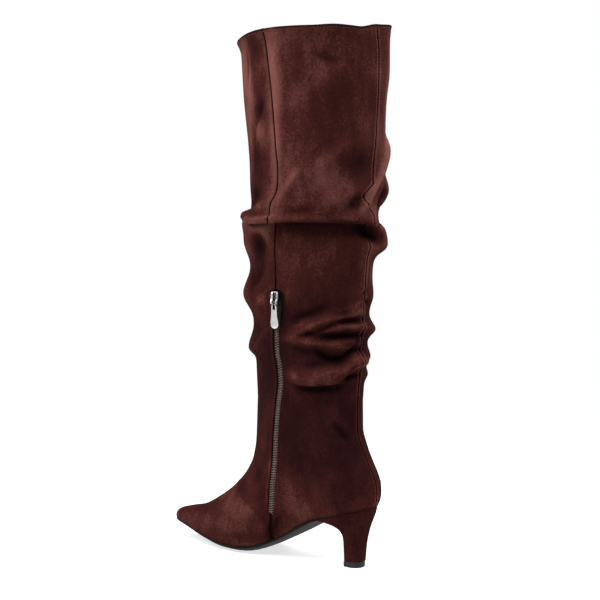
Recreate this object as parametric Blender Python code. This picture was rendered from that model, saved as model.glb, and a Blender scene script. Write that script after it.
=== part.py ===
"""A tall slouched boot for the right foot: hollow suede upper with an inner zip, thin sole, slim heel.

Metres, +Z up. The toe points to -Y and the inner side of the leg is +X.
The origin is on the floor under the middle of the boot. Sizes below are in millimetres.
"ahead" is measured from the back of the heel towards the toe.
"""
import bpy
import numpy as np

MM = 0.001
HEEL_BACK_Y = 119.0
TOE_SWING = 4.0
GAP = 0.3
SHARP_ANGLE = 40.0

# Upper and collar
WALL = 1.6
LIP_FLATTENING = 0.4
FRONT_COLUMNS = 9
BACK_COLUMNS = 9
COLLAR_START = 410.0
RIM_FLARE = 2.8
RIM_FLARE_DEPTH = 14.0

# Sole, insole and heel
SOLE_EDGE = 0.8
SOLE_BEVEL = 1.6
SOLE_COLUMNS = 5
SOLE_STATIONS = 22
LEAST_HALF_WIDTH = 2.0
INSOLE_THICK = 2.0
INSOLE_INSET = 2.8
BREAST_AHEAD = 51.0
LIFT_THICK = 5.6
HEEL_COLUMNS = 9
HEEL_FINE_FROM = 3

# Zip
SLIT_WIDTH = 5.2
SLIT_BOTTOM = 47.0
SLIT_TOP = 270.0
CHAIN_END_GAP = 0.8
CHAIN_SIDE_GAP = 0.45
CHAIN_TOP = -0.2
CHAIN_BOTTOM = -1.4
TAPE_THICK = 0.8
TAPE_GAP = 0.7
SLIDER_HEIGHT = 260.5
SLIDER_REST = 0.6
LUG_INSIDE = 2.1
PULL_THICK = 1.6
PULL_LIFT = 3.6
PULL_ALONG = -3.6

# Finishes: colour, roughness, metallic
SUEDE = ((0.047, 0.012, 0.011), 0.92, 0.0)
BLACK_RUBBER = ((0.012, 0.011, 0.011), 0.55, 0.0)
BOARD = ((0.16, 0.11, 0.08), 0.8, 0.0)
TAPE = ((0.05, 0.025, 0.02), 0.85, 0.0)
COIL = ((0.075, 0.04, 0.034), 0.5, 0.0)
METAL = ((0.42, 0.4, 0.4), 0.3, 1.0)


def table(columns, *rows):
    """A short table as one array for each named column."""
    return dict(zip(columns.split(), np.array(rows, float).T))


# Edge where the upper meets the sole: height above the floor, half width to each side
FEATHER = table(
    "ahead   height  inner  outer",
    (0.0,    59.5,   0.0,   0.0),
    (5.0,    58.6,   15.5,  15.5),
    (14.0,   56.6,   23.0,  23.0),
    (30.0,   52.0,   26.5,  26.5),
    (51.0,   43.8,   25.0,  26.0),
    (77.0,   31.2,   19.5,  24.0),
    (106.0,  17.6,   21.0,  28.5),
    (131.0,  10.2,   26.5,  33.0),
    (151.0,  8.4,    28.5,  34.0),
    (171.0,  9.2,    26.5,  32.0),
    (196.0,  12.6,   21.5,  25.0),
    (221.0,  17.0,   14.5,  17.0),
    (236.0,  19.4,   9.5,   11.0),
    (244.0,  20.4,   0.0,   0.0))

# Rings of the foot: points of the front and the back profile, swell of the sides, angle of the seam
FOOT = table(
    "ring   front_ahead  front_height  back_ahead  back_height  swell  seam",
    (0.00,  244.0,       20.4,         0.0,        59.5,        0.0,   98.5),
    (0.05,  244.5,       26.5,         -2.0,       65.0,        2.2,   97.5),
    (0.11,  233.0,       32.6,         -3.0,       71.0,        3.6,   95.5),
    (0.24,  207.0,       38.7,         -2.6,       82.0,        3.6,   91.5),
    (0.36,  183.0,       51.3,         1.0,        92.0,        2.4,   87.5),
    (0.46,  165.0,       64.0,         5.5,        101.0,       1.2,   83.5),
    (0.56,  149.5,       79.0,         10.0,       110.0,       0.4,   80.0),
    (0.68,  138.0,       98.0,         14.5,       121.0,       0.0,   78.0),
    (0.80,  133.5,       118.0,        17.8,       133.0,       0.0,   78.5),
    (1.00,  131.0,       160.0,        18.0,       160.0,       0.0,   82.0))

# Oval sections of the shaft and the angle of its inner seam
LEG = table(
    "height  middle_ahead  half_length  half_width  seam",
    (160.0,  74.5,         56.5,        41.8,       82.0),
    (200.0,  73.8,         58.5,        44.4,       85.0),
    (250.0,  73.0,         60.5,        49.5,       84.0),
    (300.0,  71.0,         62.0,        55.0,       84.0),
    (350.0,  69.5,         63.5,        61.0,       86.5),
    (400.0,  66.5,         67.0,        65.0,       87.0),
    (450.0,  67.5,         70.0,        67.0,       86.5),
    (515.0,  68.8,         74.6,        71.4,       82.5))

# Height of the collar's edge, alike on both sides
RIM = table(
    "angle   height",
    (0.0,    508.0),
    (45.0,   510.0),
    (80.0,   513.0),
    (120.0,  511.5),
    (150.0,  513.0),
    (180.0,  517.5))

# Folds of the slouched shaft: where each lies, how far it swells and droops
FOLDS = table(
    "angle   height  slope  span   swell  above  below  droop",
    (118.0,  338.0,  0.0,   62.0,  7.0,   40.0,  4.5,   7.0),
    (-105.0, 338.0,  0.0,   75.0,  6.5,   36.0,  6.0,   5.0),
    (10.0,   339.0,  0.0,   70.0,  11.0,  4.0,   40.0,  0.0),
    (190.0,  317.0,  0.0,   60.0,  11.0,  12.0,  16.0,  2.0),
    (0.0,    268.0,  0.0,   85.0,  10.5,  18.0,  17.0,  1.0),
    (185.0,  259.0,  0.0,   50.0,  2.5,   12.0,  12.0,  0.0),
    (178.0,  230.0,  -0.1,  62.0,  10.0,  9.0,   7.0,   3.0),
    (0.0,    209.0,  0.0,   80.0,  9.0,   15.0,  7.0,   2.0),
    (178.0,  205.0,  0.0,   55.0,  6.0,   8.0,   7.0,   2.0),
    (182.0,  186.0,  0.0,   50.0,  3.0,   8.0,   8.0,   0.0),
    (125.0,  174.0,  0.0,   42.0,  3.0,   12.0,  5.0,   2.0),
    (-80.0,  240.0,  0.12,  48.0,  4.0,   14.0,  8.0,   2.0),
    (-112.0, 190.0,  -0.1,  46.0,  3.5,   12.0,  6.0,   2.0),
    (185.0,  404.0,  0.0,   50.0,  7.5,   16.0,  16.0,  0.0),
    (185.0,  367.0,  0.0,   45.0,  9.0,   15.0,  10.0,  0.0))

# Rings of the shaft, closer together where the folds are
RING_STRETCHES = table(
    "start   end    steps",
    (160.0,  190.0, 4),
    (190.0,  240.0, 10),
    (240.0,  300.0, 8),
    (300.0,  346.0, 10),
    (346.0,  410.0, 6),
    (410.0,  515.0, 6))

# Sections of the heel from the seat (0) to the under side (1)
HEEL = table(
    "drop   back_ahead  breast_ahead  half_width",
    (0.00,  0.3,        51.0,         26.0),
    (0.09,  2.2,        50.6,         24.2),
    (0.14,  3.0,        41.0,         23.0),
    (0.22,  4.4,        34.5,         21.2),
    (0.40,  7.5,        30.6,         17.6),
    (0.70,  10.6,       29.7,         12.6),
    (1.00,  12.0,       29.5,         9.6))

# Under side of the sole and the roll of its edges
SOLE = table(
    "ahead   bottom  edge_rise",
    (51.0,   40.0,   0.0),
    (77.0,   27.0,   0.6),
    (106.0,  12.2,   2.0),
    (126.0,  3.6,    3.4),
    (138.0,  0.0,    4.2),
    (168.0,  0.0,    4.4),
    (191.0,  3.4,    4.2),
    (221.0,  10.0,   3.0),
    (244.0,  15.4,   1.6))

# Rings of the foot, closer together at the sole's edge
FOOT_RINGS = (0.0, 0.025, 0.05, 0.08, 0.11, 0.16, 0.22, 0.28,
              0.34, 0.40, 0.46, 0.53, 0.60, 0.68, 0.78, 0.89)

# Outline of the pull tab below its hinge
PULL = table(
    "below  half_width",
    (-0.8,  1.7),
    (2.4,   1.7),
    (3.6,   2.3),
    (8.0,   2.5),
    (14.0,  3.2),
    (19.0,  4.1),
    (22.0,  4.0),
    (24.2,  2.8),
    (25.0,  1.4))

# Slider's rings along the zip
SLIDER = table(
    "along  half_width  rail_top  floor",
    (-6.0,  3.2,        2.4,      2.0),
    (-5.4,  3.4,        4.6,      2.0),
    (-4.2,  3.5,        5.0,      2.0),
    (-3.0,  3.6,        5.0,      2.0),
    (-1.8,  3.7,        4.6,      2.0),
    (-1.0,  3.9,        2.8,      2.0),
    (3.0,   4.2,        2.6,      2.0),
    (6.0,   3.6,        1.8,      1.4))


def smooth(rows, key, value, at):
    """The value at a key, on the monotone cubic through a table's rows."""
    x = rows[key]
    y = rows[value]
    step = np.diff(x)
    rise = np.diff(y) / step
    product = rise[1:] * rise[:-1]
    total = np.where(product > 0, rise[1:] + rise[:-1], 1.0)
    inside = np.where(product > 0, 2 * product / total, 0.0)
    slope = np.concatenate([rise[:1], inside, rise[-1:]])
    at = np.asarray(at, float)
    i = np.clip(np.searchsorted(x, at) - 1, 0, len(step) - 1)
    t = np.clip((at - x[i]) / step[i], 0, 1)
    start = y[i] * (1 + 2 * t) * (1 - t) ** 2 + slope[i] * step[i] * t * (1 - t) ** 2
    end = y[i + 1] * t * t * (3 - 2 * t) + slope[i + 1] * step[i] * t * t * (t - 1)
    return start + end


def feather_width(ahead, side):
    """Half width of the foot at the sole's top edge; squares are interpolated, which rounds both ends."""
    squares = {name: column ** 2 for name, column in FEATHER.items() if name in ("inner", "outer")}
    squares["ahead"] = FEATHER["ahead"]
    inner = smooth(squares, "ahead", "inner", ahead)
    outer = smooth(squares, "ahead", "outer", ahead)
    return np.sqrt(np.maximum(np.where(np.asarray(side) > 0, inner, outer), 0.0))


def feather_height(ahead):
    """Height of the sole's top edge."""
    return smooth(FEATHER, "ahead", "height", ahead)


def foot_point(ring, angle):
    """Point of the foot at a ring (0 sole edge, 1 ankle) and an angle (0 front, positive inner side).

    A ring runs from a point of the front profile to one of the back profile. Its height keeps a share
    of the sole edge's dip, and its half width turns from the sole's outline into the oval of the ankle.
    """
    share = (1 - np.cos(angle)) / 2
    front = smooth(FOOT, "ring", "front_ahead", ring)
    back = smooth(FOOT, "ring", "back_ahead", ring)
    ahead = front + (back - front) * share
    front_height = smooth(FOOT, "ring", "front_height", ring)
    back_height = smooth(FOOT, "ring", "back_height", ring)
    toe = FOOT["front_ahead"][0]
    sole_ahead = toe * (1 - share)
    sole_chord = FOOT["front_height"][0] + (FOOT["back_height"][0] - FOOT["front_height"][0]) * share
    dip = (feather_height(sole_ahead) - sole_chord) * (1 - ring) ** 2
    height = front_height + (back_height - front_height) * share + dip
    turn = ring * ring * (3 - 2 * ring)
    ankle = LEG["half_width"][0] * np.abs(np.sin(angle))
    side = np.sign(np.sin(angle))
    width = np.sqrt(feather_width(sole_ahead, side) ** 2 * (1 - turn) + ankle ** 2 * turn)
    width = width + smooth(FOOT, "ring", "swell", ring) * np.abs(np.sin(angle))
    swing = TOE_SWING * ((1 - share) * (1 - ring)) ** 2
    return np.stack([side * width + swing, HEEL_BACK_Y - ahead, height], -1)


def fold_shift(angle, height):
    """Outward and downward shift of the shaft by its folds, each a ridge with its own slopes."""
    degrees = np.degrees(angle)
    outward = np.zeros(np.broadcast(angle, height).shape)
    downward = np.zeros_like(outward)
    for k in range(len(FOLDS["angle"])):
        fold = {name: column[k] for name, column in FOLDS.items()}
        turn = (degrees - fold["angle"] + 180) % 360 - 180
        window = np.where(np.abs(turn) < fold["span"], np.cos(turn / fold["span"] * np.pi / 2) ** 2, 0.0)
        rise = height - fold["height"] - fold["slope"] * turn
        ridge = np.exp(-(rise / np.where(rise > 0, fold["above"], fold["below"])) ** 2)
        outward = outward + fold["swell"] * window * ridge
        downward = downward + fold["droop"] * window * ridge
    return outward, downward


def leg_point(height, angle):
    """Point of the shaft at a height and an angle: an oval section, shifted by the folds."""
    half_length = smooth(LEG, "height", "half_length", height)
    half_width = smooth(LEG, "height", "half_width", height)
    middle = smooth(LEG, "height", "middle_ahead", height)
    outward, downward = fold_shift(angle, height)
    flare = np.clip(1 - (rim_height(angle) - height) / RIM_FLARE_DEPTH, 0, 1)
    outward = outward + RIM_FLARE * flare ** 2
    normal_x = np.sin(angle) / half_width
    normal_ahead = np.cos(angle) / half_length
    size = np.hypot(normal_x, normal_ahead)
    x = half_width * np.sin(angle) + outward * normal_x / size
    ahead = middle + half_length * np.cos(angle) + outward * normal_ahead / size
    return np.stack([x, HEEL_BACK_Y - ahead, height - downward + 0 * angle], -1)


def rim_height(angle):
    """Height of the collar's edge round the leg."""
    return smooth(RIM, "angle", "height", np.abs(np.degrees(angle)))


def leg_height(level, angle):
    """Height of a ring of the shaft; above COLLAR_START the rings fan out to follow the rim."""
    end = RING_STRETCHES["end"][-1]
    fan = COLLAR_START + (rim_height(angle) - COLLAR_START) * (level - COLLAR_START) / (end - COLLAR_START)
    return np.where(level > COLLAR_START, fan, level)


def shaft_point(level, angle):
    """Point of the shaft at a ring's level and an angle."""
    return leg_point(leg_height(level, angle), angle)


def column_angles(point, level, seam):
    """Angles of a ring's columns, front to back on the inner side and round again; two edge the slit."""
    probe = np.radians(1.0)
    speed = np.linalg.norm(point(level, seam + probe) - point(level, seam - probe)) / (2 * probe)
    edge = SLIT_WIDTH / 2 / speed
    front = np.linspace(0, seam - edge, FRONT_COLUMNS + 1)
    back = np.linspace(seam + edge, np.pi, BACK_COLUMNS + 1)
    inner = np.concatenate([front, back])
    return np.concatenate([inner, -inner[-2:0:-1]])


def leg_levels():
    """Levels of the shaft's rings, from the short table of stretches."""
    parts = []
    for start, end, steps in zip(RING_STRETCHES["start"], RING_STRETCHES["end"], RING_STRETCHES["steps"]):
        parts.append(np.linspace(start, end, int(steps) + 1)[:-1])
    return np.concatenate(parts + [RING_STRETCHES["end"][-1:]])


def upper_grid():
    """Outer surface of the upper as an array of points by ring and column."""
    rings = []
    for ring in FOOT_RINGS:
        seam = np.radians(smooth(FOOT, "ring", "seam", ring))
        rings.append(foot_point(ring, column_angles(foot_point, ring, seam)))
    for level in leg_levels():
        seam = np.radians(smooth(LEG, "height", "seam", level))
        rings.append(shaft_point(level, column_angles(shaft_point, level, seam)))
    return np.array(rings)


def outward_normals(grid):
    """Unit normals of a closed grid, level at both rims and flattened on the shaft's fold lips."""
    along = np.roll(grid, -1, 1) - np.roll(grid, 1, 1)
    upward = np.gradient(grid, axis=0)
    normal = np.cross(along, upward)
    normal /= np.linalg.norm(normal, axis=-1, keepdims=True)
    normal[0, :, 2] = 0
    normal[len(FOOT_RINGS):, :, 2] *= LIP_FLATTENING
    normal[-1, :, 2] = 0
    return normal / np.linalg.norm(normal, axis=-1, keepdims=True)


def nearest_ring(grid, height):
    """Index of the ring whose seam point is closest to a height."""
    return int(np.argmin(np.abs(grid[:, FRONT_COLUMNS, 2] - height)))


def finish_object(name, points, faces, finish, origin=(0.0, 0.0, 0.0)):
    """Makes a named mesh object with its own material from points in millimetres."""
    colour, roughness, metallic = finish
    mesh = bpy.data.meshes.new(name)
    mesh.from_pydata(((np.asarray(points) - origin) * MM).tolist(), [], faces)
    mesh.validate()
    mesh.shade_smooth()
    mesh.set_sharp_from_angle(angle=np.radians(SHARP_ANGLE))
    material = bpy.data.materials.new(name)
    material.use_nodes = True
    shader = material.node_tree.nodes["Principled BSDF"]
    shader.inputs["Base Color"].default_value = (*colour, 1.0)
    shader.inputs["Roughness"].default_value = roughness
    shader.inputs["Metallic"].default_value = metallic
    mesh.materials.append(material)
    piece = bpy.data.objects.new(name, mesh)
    piece.location = np.asarray(origin) * MM
    bpy.context.scene.collection.objects.link(piece)
    return piece


def make_upper(grid, normals):
    """Hollow upper: outer and inner wall, rims at the sole and the collar, and the zip's slit left open."""
    rings, columns = grid.shape[:2]
    inside = grid - WALL * normals
    points = np.concatenate([grid.reshape(-1, 3), inside.reshape(-1, 3)])
    shift = rings * columns
    slit_start = nearest_ring(grid, SLIT_BOTTOM)
    slit_end = nearest_ring(grid, SLIT_TOP)
    faces = []

    def corner(ring, column, layer):
        return layer * shift + ring * columns + column % columns

    def bridge(a, b):
        """Quad between two (ring, column) points of the outer wall and their partners inside."""
        faces.append((corner(*a, 0), corner(*a, 1), corner(*b, 1), corner(*b, 0)))

    for ring in range(rings - 1):
        for column in range(columns):
            if column == FRONT_COLUMNS and slit_start <= ring < slit_end:
                continue
            quad = ((ring, column), (ring, column + 1), (ring + 1, column + 1), (ring + 1, column))
            faces.append(tuple(corner(*q, 0) for q in quad))
            faces.append(tuple(corner(*q, 1) for q in reversed(quad)))
    for column in range(columns):
        bridge((0, column), (0, column + 1))
        bridge((rings - 1, column + 1), (rings - 1, column))
    for ring in range(slit_start, slit_end):
        bridge((ring, FRONT_COLUMNS), (ring + 1, FRONT_COLUMNS))
        bridge((ring + 1, FRONT_COLUMNS + 1), (ring, FRONT_COLUMNS + 1))
    bridge((slit_start, FRONT_COLUMNS + 1), (slit_start, FRONT_COLUMNS))
    bridge((slit_end, FRONT_COLUMNS), (slit_end, FRONT_COLUMNS + 1))
    return finish_object("upper", points, faces, SUEDE)


def tube_faces(rings, sides):
    """Faces of a closed tube of rings with flat caps at both ends."""
    faces = []
    for ring in range(rings - 1):
        for side in range(sides):
            after = (side + 1) % sides
            faces.append((ring * sides + side, ring * sides + after,
                          (ring + 1) * sides + after, (ring + 1) * sides + side))
    faces.append(tuple(reversed(range(sides))))
    faces.append(tuple(range((rings - 1) * sides, rings * sides)))
    return faces


def sole_section(ahead, grow, bevel, top, bottom, rise):
    """Cross-sections of a sole layer: its top, then its bottom, set in by a bevel with rolled edges."""
    ahead = np.asarray(ahead, float)
    swing = TOE_SWING * (np.clip(ahead, 0, None) / FEATHER["ahead"][-1]) ** 2
    middle = FEATHER["ahead"][-1] / 2
    like = middle + (ahead - middle) * middle / (middle + grow)
    half_inner = np.maximum(feather_width(like, 1) + grow, LEAST_HALF_WIDTH)
    half_outer = np.maximum(feather_width(like, -1) + grow, LEAST_HALF_WIDTH)
    rings = []
    for share in np.linspace(1, -1, SOLE_COLUMNS):
        rings.append((share, 0.0, top))
    for share in np.linspace(-1, 1, SOLE_COLUMNS):
        rolled = rise if abs(share) == 1 else 0.0
        rings.append((share, bevel, bottom + rolled))
    section = []
    for share, inset, height in rings:
        half = np.where(share > 0, half_inner, half_outer)
        half = np.maximum(half - inset, LEAST_HALF_WIDTH / 2)
        section.append(np.stack([swing + share * half, HEEL_BACK_Y - ahead, height], -1))
    return np.stack(section, 1)


def sole_stations(start, end):
    """Stations along the foot, closer together at both ends, with the edges of the flat spot among them."""
    share = (1 - np.cos(np.linspace(0, np.pi, SOLE_STATIONS))) / 2
    even = start + (end - start) * share
    flat = SOLE["ahead"][SOLE["bottom"] == 0]
    return np.unique(np.concatenate([even, flat[(flat > start) & (flat < end)]]))


def make_outsole():
    """Thin sole from the heel breast to the toe, flat under the ball, with an arch and a toe spring."""
    toe = FEATHER["ahead"][-1]
    ahead = sole_stations(BREAST_AHEAD + GAP, toe + SOLE_EDGE)
    top = feather_height(ahead) - GAP
    bottom = smooth(SOLE, "ahead", "bottom", ahead)
    rise = smooth(SOLE, "ahead", "edge_rise", ahead)
    section = sole_section(ahead, SOLE_EDGE, SOLE_BEVEL, top, bottom, rise)
    points = section.reshape(-1, 3)
    return finish_object("outsole", points, tube_faces(*section.shape[:2]), BLACK_RUBBER)


def make_insole():
    """Board inside the upper, resting just above the outsole and the heel."""
    toe = FEATHER["ahead"][-1]
    ahead = sole_stations(INSOLE_INSET, toe - INSOLE_INSET)
    base = feather_height(ahead) + GAP
    section = sole_section(ahead, -INSOLE_INSET, 0.0, base + INSOLE_THICK, base, 0.0)
    points = section.reshape(-1, 3)
    return finish_object("insole", points, tube_faces(*section.shape[:2]), BOARD)


def heel_outline(drop):
    """Outline of the heel at a share of the way down, as the seat's outline scaled to that section's sizes.

    The points run from the breast round the back; the heights run from the seat to the level under side.
    """
    seat_angles = np.linspace(np.arccos(2 * BREAST_AHEAD / FEATHER["ahead"][-1] - 1), np.pi, HEEL_COLUMNS)
    seat_ahead = FEATHER["ahead"][-1] * (1 + np.cos(seat_angles)) / 2
    seat_ahead = np.concatenate([seat_ahead, seat_ahead[-2::-1]])
    side = np.concatenate([np.ones(HEEL_COLUMNS), -np.ones(HEEL_COLUMNS - 1)])
    back = smooth(HEEL, "drop", "back_ahead", drop)
    breast = smooth(HEEL, "drop", "breast_ahead", drop)
    half_width = smooth(HEEL, "drop", "half_width", drop)
    ahead = back + (breast - back) * seat_ahead / BREAST_AHEAD
    x = side * feather_width(seat_ahead, side) * half_width / HEEL["half_width"][0]
    top = feather_height(seat_ahead) - GAP
    height = top + (LIFT_THICK + GAP - top) * drop
    return np.stack([x, HEEL_BACK_Y - ahead, height], -1)


def ladder_faces(rings, sides):
    """Faces of a closed stack of mirrored outlines: walls, and caps of rungs between the two sides."""
    faces = tube_faces(rings, sides)[:-2]
    last = (rings - 1) * sides
    for k in range(sides // 2):
        rung = tuple(dict.fromkeys((k, k + 1, sides - 2 - k, sides - 1 - k)))
        faces.append(tuple(reversed(rung)))
        faces.append(tuple(last + r for r in rung))
    return faces


def make_heel():
    """Slim heel, hollowed down its back and breast, under the seat of the foot."""
    middles = (HEEL["drop"][1:] + HEEL["drop"][:-1]) / 2
    drops = np.sort(np.concatenate([HEEL["drop"], middles[HEEL_FINE_FROM:]]))
    rings = np.array([heel_outline(drop) for drop in drops])
    faces = [tuple(reversed(face)) for face in ladder_faces(*rings.shape[:2])]
    return finish_object("heel", rings.reshape(-1, 3), faces, SUEDE)


def make_top_lift():
    """Wearing piece under the heel, flat on the floor."""
    outline = heel_outline(1.0)
    top = outline.copy()
    top[:, 2] = LIFT_THICK
    floor = outline.copy()
    floor[:, 2] = 0.0
    rings = np.array([top, floor])
    faces = [tuple(reversed(face)) for face in ladder_faces(*rings.shape[:2])]
    return finish_object("top_lift", rings.reshape(-1, 3), faces, BLACK_RUBBER)


def zip_line(grid, normals):
    """Middle line of the slit with its across, along and outward directions at each ring."""
    front = grid[:, FRONT_COLUMNS]
    back = grid[:, FRONT_COLUMNS + 1]
    middle = (front + back) / 2
    across = back - front
    across /= np.linalg.norm(across, axis=-1, keepdims=True)
    outward = normals[:, FRONT_COLUMNS] + normals[:, FRONT_COLUMNS + 1]
    outward -= across * np.sum(outward * across, -1, keepdims=True)
    outward /= np.linalg.norm(outward, axis=-1, keepdims=True)
    along = np.cross(outward, across)
    return middle, across, along, outward


def make_zip_chain(grid, normals):
    """Closed coil that fills the slit, a little below the suede's face."""
    rows = slice(nearest_ring(grid, SLIT_BOTTOM), nearest_ring(grid, SLIT_TOP) + 1)
    middle, across, along, outward = (part[rows] for part in zip_line(grid, normals))
    middle = middle.copy()
    for end, inner in ((0, 1), (-1, -2)):
        run = middle[inner] - middle[end]
        middle[end] += run * CHAIN_END_GAP / np.linalg.norm(run)
    half = SLIT_WIDTH / 2 - CHAIN_SIDE_GAP
    corners = ((-half, CHAIN_TOP), (half, CHAIN_TOP), (half, CHAIN_BOTTOM), (-half, CHAIN_BOTTOM))
    rings = np.stack([middle + across * side + outward * depth for side, depth in corners], 1)
    return finish_object("zip_chain", rings.reshape(-1, 3), tube_faces(*rings.shape[:2]), COIL)


def make_zip_tape(grid, normals):
    """Strip inside the upper behind the slit, following the wall's own curve."""
    rows = slice(nearest_ring(grid, SLIT_BOTTOM) - 1, nearest_ring(grid, SLIT_TOP) + 2)
    columns = slice(FRONT_COLUMNS - 1, FRONT_COLUMNS + 3)
    wall = grid[rows, columns]
    normal = normals[rows, columns]
    face = wall - normal * (WALL + TAPE_GAP)
    back = wall - normal * (WALL + TAPE_GAP + TAPE_THICK)
    rings = np.concatenate([face, back[:, ::-1]], 1)
    return finish_object("zip_tape", rings.reshape(-1, 3), tube_faces(*rings.shape[:2]), TAPE)


def slider_frame(grid, normals):
    """Point of the zip's middle line at the slider's height and the three directions there."""
    middle, across, along, outward = zip_line(grid, normals)
    return [np.array([np.interp(SLIDER_HEIGHT, middle[:, 2], part[:, k]) for k in range(3)])
            for part in (middle, across, along, outward)]


def make_zip_slider(grid, normals):
    """Slider body: a channel along the zip whose side rails rise to two lugs that hold the pull."""
    middle, across, along, outward = slider_frame(grid, normals)
    rings = []
    for k in range(len(SLIDER["along"])):
        row = {name: column[k] for name, column in SLIDER.items()}
        half = row["half_width"]
        rail = row["rail_top"]
        floor = row["floor"]
        corners = ((-half, SLIDER_REST), (half, SLIDER_REST), (half, rail), (LUG_INSIDE, rail),
                   (LUG_INSIDE, floor), (-LUG_INSIDE, floor), (-LUG_INSIDE, rail), (-half, rail))
        place = middle + along * row["along"]
        rings.append([place + across * side + outward * depth for side, depth in corners])
    rings = np.array(rings)
    faces = [tuple(reversed(face)) for face in tube_faces(*rings.shape[:2])]
    return finish_object("zip_slider", rings.reshape(-1, 3), faces, METAL)


def make_zip_pull(grid, normals):
    """Teardrop pull tab hanging from the slider's lugs; its origin is on the hinge axis."""
    middle, across, along, outward = slider_frame(grid, normals)
    hinge = middle + along * PULL_ALONG + outward * PULL_LIFT
    half = PULL_THICK / 2
    rings = []
    for below, width in zip(PULL["below"], PULL["half_width"]):
        corners = ((-width, half), (-width, -half), (width, -half), (width, half))
        rings.append([hinge - along * below + across * side + outward * depth for side, depth in corners])
    rings = np.array(rings)
    return finish_object("zip_pull", rings.reshape(-1, 3), tube_faces(*rings.shape[:2]), METAL, hinge)


def main():
    for thing in list(bpy.data.objects):
        bpy.data.objects.remove(thing, do_unlink=True)
    grid = upper_grid()
    normals = outward_normals(grid)
    make_upper(grid, normals)
    make_outsole()
    make_insole()
    make_heel()
    make_top_lift()
    make_zip_tape(grid, normals)
    make_zip_chain(grid, normals)
    make_zip_slider(grid, normals)
    make_zip_pull(grid, normals)


main()
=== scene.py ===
"""A tall slouched suede boot for the right foot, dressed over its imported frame.

Sizes are in millimetres in the boot's own frame: +Z up, the toe towards -Y, the inner side with the zip
at +X. "ahead" runs from the back of the heel towards the toe. Angles round the leg are 0 at the front,
90 at the inner side and 180 at the back.
"""

import bpy
import numpy as np
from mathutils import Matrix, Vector


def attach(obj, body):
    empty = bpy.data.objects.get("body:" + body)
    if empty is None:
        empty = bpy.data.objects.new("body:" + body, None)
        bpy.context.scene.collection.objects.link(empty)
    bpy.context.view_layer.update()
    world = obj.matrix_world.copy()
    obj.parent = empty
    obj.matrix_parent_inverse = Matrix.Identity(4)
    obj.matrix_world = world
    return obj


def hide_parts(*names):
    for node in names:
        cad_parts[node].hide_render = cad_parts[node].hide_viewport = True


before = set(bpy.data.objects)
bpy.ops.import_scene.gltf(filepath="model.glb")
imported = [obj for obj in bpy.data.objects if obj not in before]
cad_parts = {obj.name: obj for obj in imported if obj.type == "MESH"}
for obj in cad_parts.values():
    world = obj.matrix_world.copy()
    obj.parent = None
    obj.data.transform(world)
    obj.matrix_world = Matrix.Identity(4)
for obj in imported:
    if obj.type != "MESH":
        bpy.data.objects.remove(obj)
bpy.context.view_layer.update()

MM = 0.001
UP = np.array([0.0, 0.0, 1.0])
HEEL_BACK_Y = 119.0
TOE_SWING = 4.0
GAP = 0.3


def table(columns, *rows):
    """A short table as one array for each named column."""
    return dict(zip(columns.split(), np.array(rows, float).T))


# Upper: last, shaft, collar and folds

WALL = 1.6
SLIT_BOTTOM = 47.0
SLIT_TOP = 275.0
COLLAR_START = 410.0
RIM_FLARE_FRONT = 3.4
RIM_FLARE_BACK = 1.6
RIM_FLARE_DEPTH = 14.0
FOOT_RINGS = 84
FOOT_CROWD = 1.25
INNER_STEP = 4
INNER_UPRIGHT = 0.4
ROLL_TURNS = (36.0, 72.0, 108.0, 144.0)
BAND_CREST = 0.3
STITCH_BELOW_RIM = 2.4
SEAM_MARKS = ("inner_seam", "back_seam", "outer_seam", "vamp_seam")

# How far seams, strips and edges stand out of the skin or lie in it, and how wide they are
STRIP_RISE = 0.7
STRIP_START = (0.4, 1.6)
STRIP_END = (4.0, 13.0)
INNER_GROOVE = 1.1
INNER_GROOVE_WIDTH = 1.0
SEAM_GROOVE = 0.7
SEAM_GROOVE_WIDTH = 0.9
BACK_STRIP_RISE = 0.25
BACK_STRIP_START = (0.6, 1.4)
BACK_STRIP_END = (3.6, 4.6)
VAMP_RISE = 0.5
VAMP_RISE_FADE = 7.0
VAMP_GROOVE = 0.4
VAMP_FAR = 40.0
RIM_GROOVE = 0.35
RIM_GROOVE_WIDTH = 0.8
GARAGE_HEIGHT = 262.0
GARAGE_HALF_WIDTH = 12.0
GARAGE_RISE = 7.0
GARAGE_RIDGE = 1.4
GARAGE_RIDGE_AT = 1.1
GARAGE_RIDGE_WIDTH = 0.2
GARAGE_START = (228.0, 250.0)
ZIP_EDGE_RISE = 0.6
ZIP_EDGE_AWAY = 6.8
ZIP_EDGE_WIDTH = 1.4
ZIP_EDGE_FADE = 20.0

# How much the suede is painted lighter or darker: crests lighter as rubbed wear and painted highlight,
# hollows darker as painted shade; painted highlights beside the seams, where they are also rubbed, and on the
# zip's rolled edge; painted shade along the heel's top edge and over the lower leg; darker also beside the
# instep's seam and along the rim
CREST_HIGHLIGHT_AND_HOLLOW_SHADE = 0.55
CREST_LIMITS = (-1.0, 0.8)
ZIP_EDGE_HIGHLIGHT = 0.22
SEAM_SIDE_WEAR_AND_HIGHLIGHT = 0.36
SEAM_SIDE_HIGHLIGHT_AWAY = 2.0
SEAM_SIDE_HIGHLIGHT_WIDTH = 0.8
VAMP_SHADE = 0.18
VAMP_SHADE_START = (0.0, 2.0)
VAMP_SHADE_END = (8.0, 24.0)
RIM_SHADE = 0.45
RIM_SHADE_DEPTH = (0.6, 1.8)
HEEL_SHADE = 0.5
HEEL_SHADE_RINGS = 3.0
HEEL_SHADE_START = (108.0, 118.0)
LOWER_SHADE = 0.34
LOWER_SHADE_START = (70.0, 110.0)
LOWER_SHADE_END = (215.0, 320.0)
FOOT_SEAM_WIDER = 1.0

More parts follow.
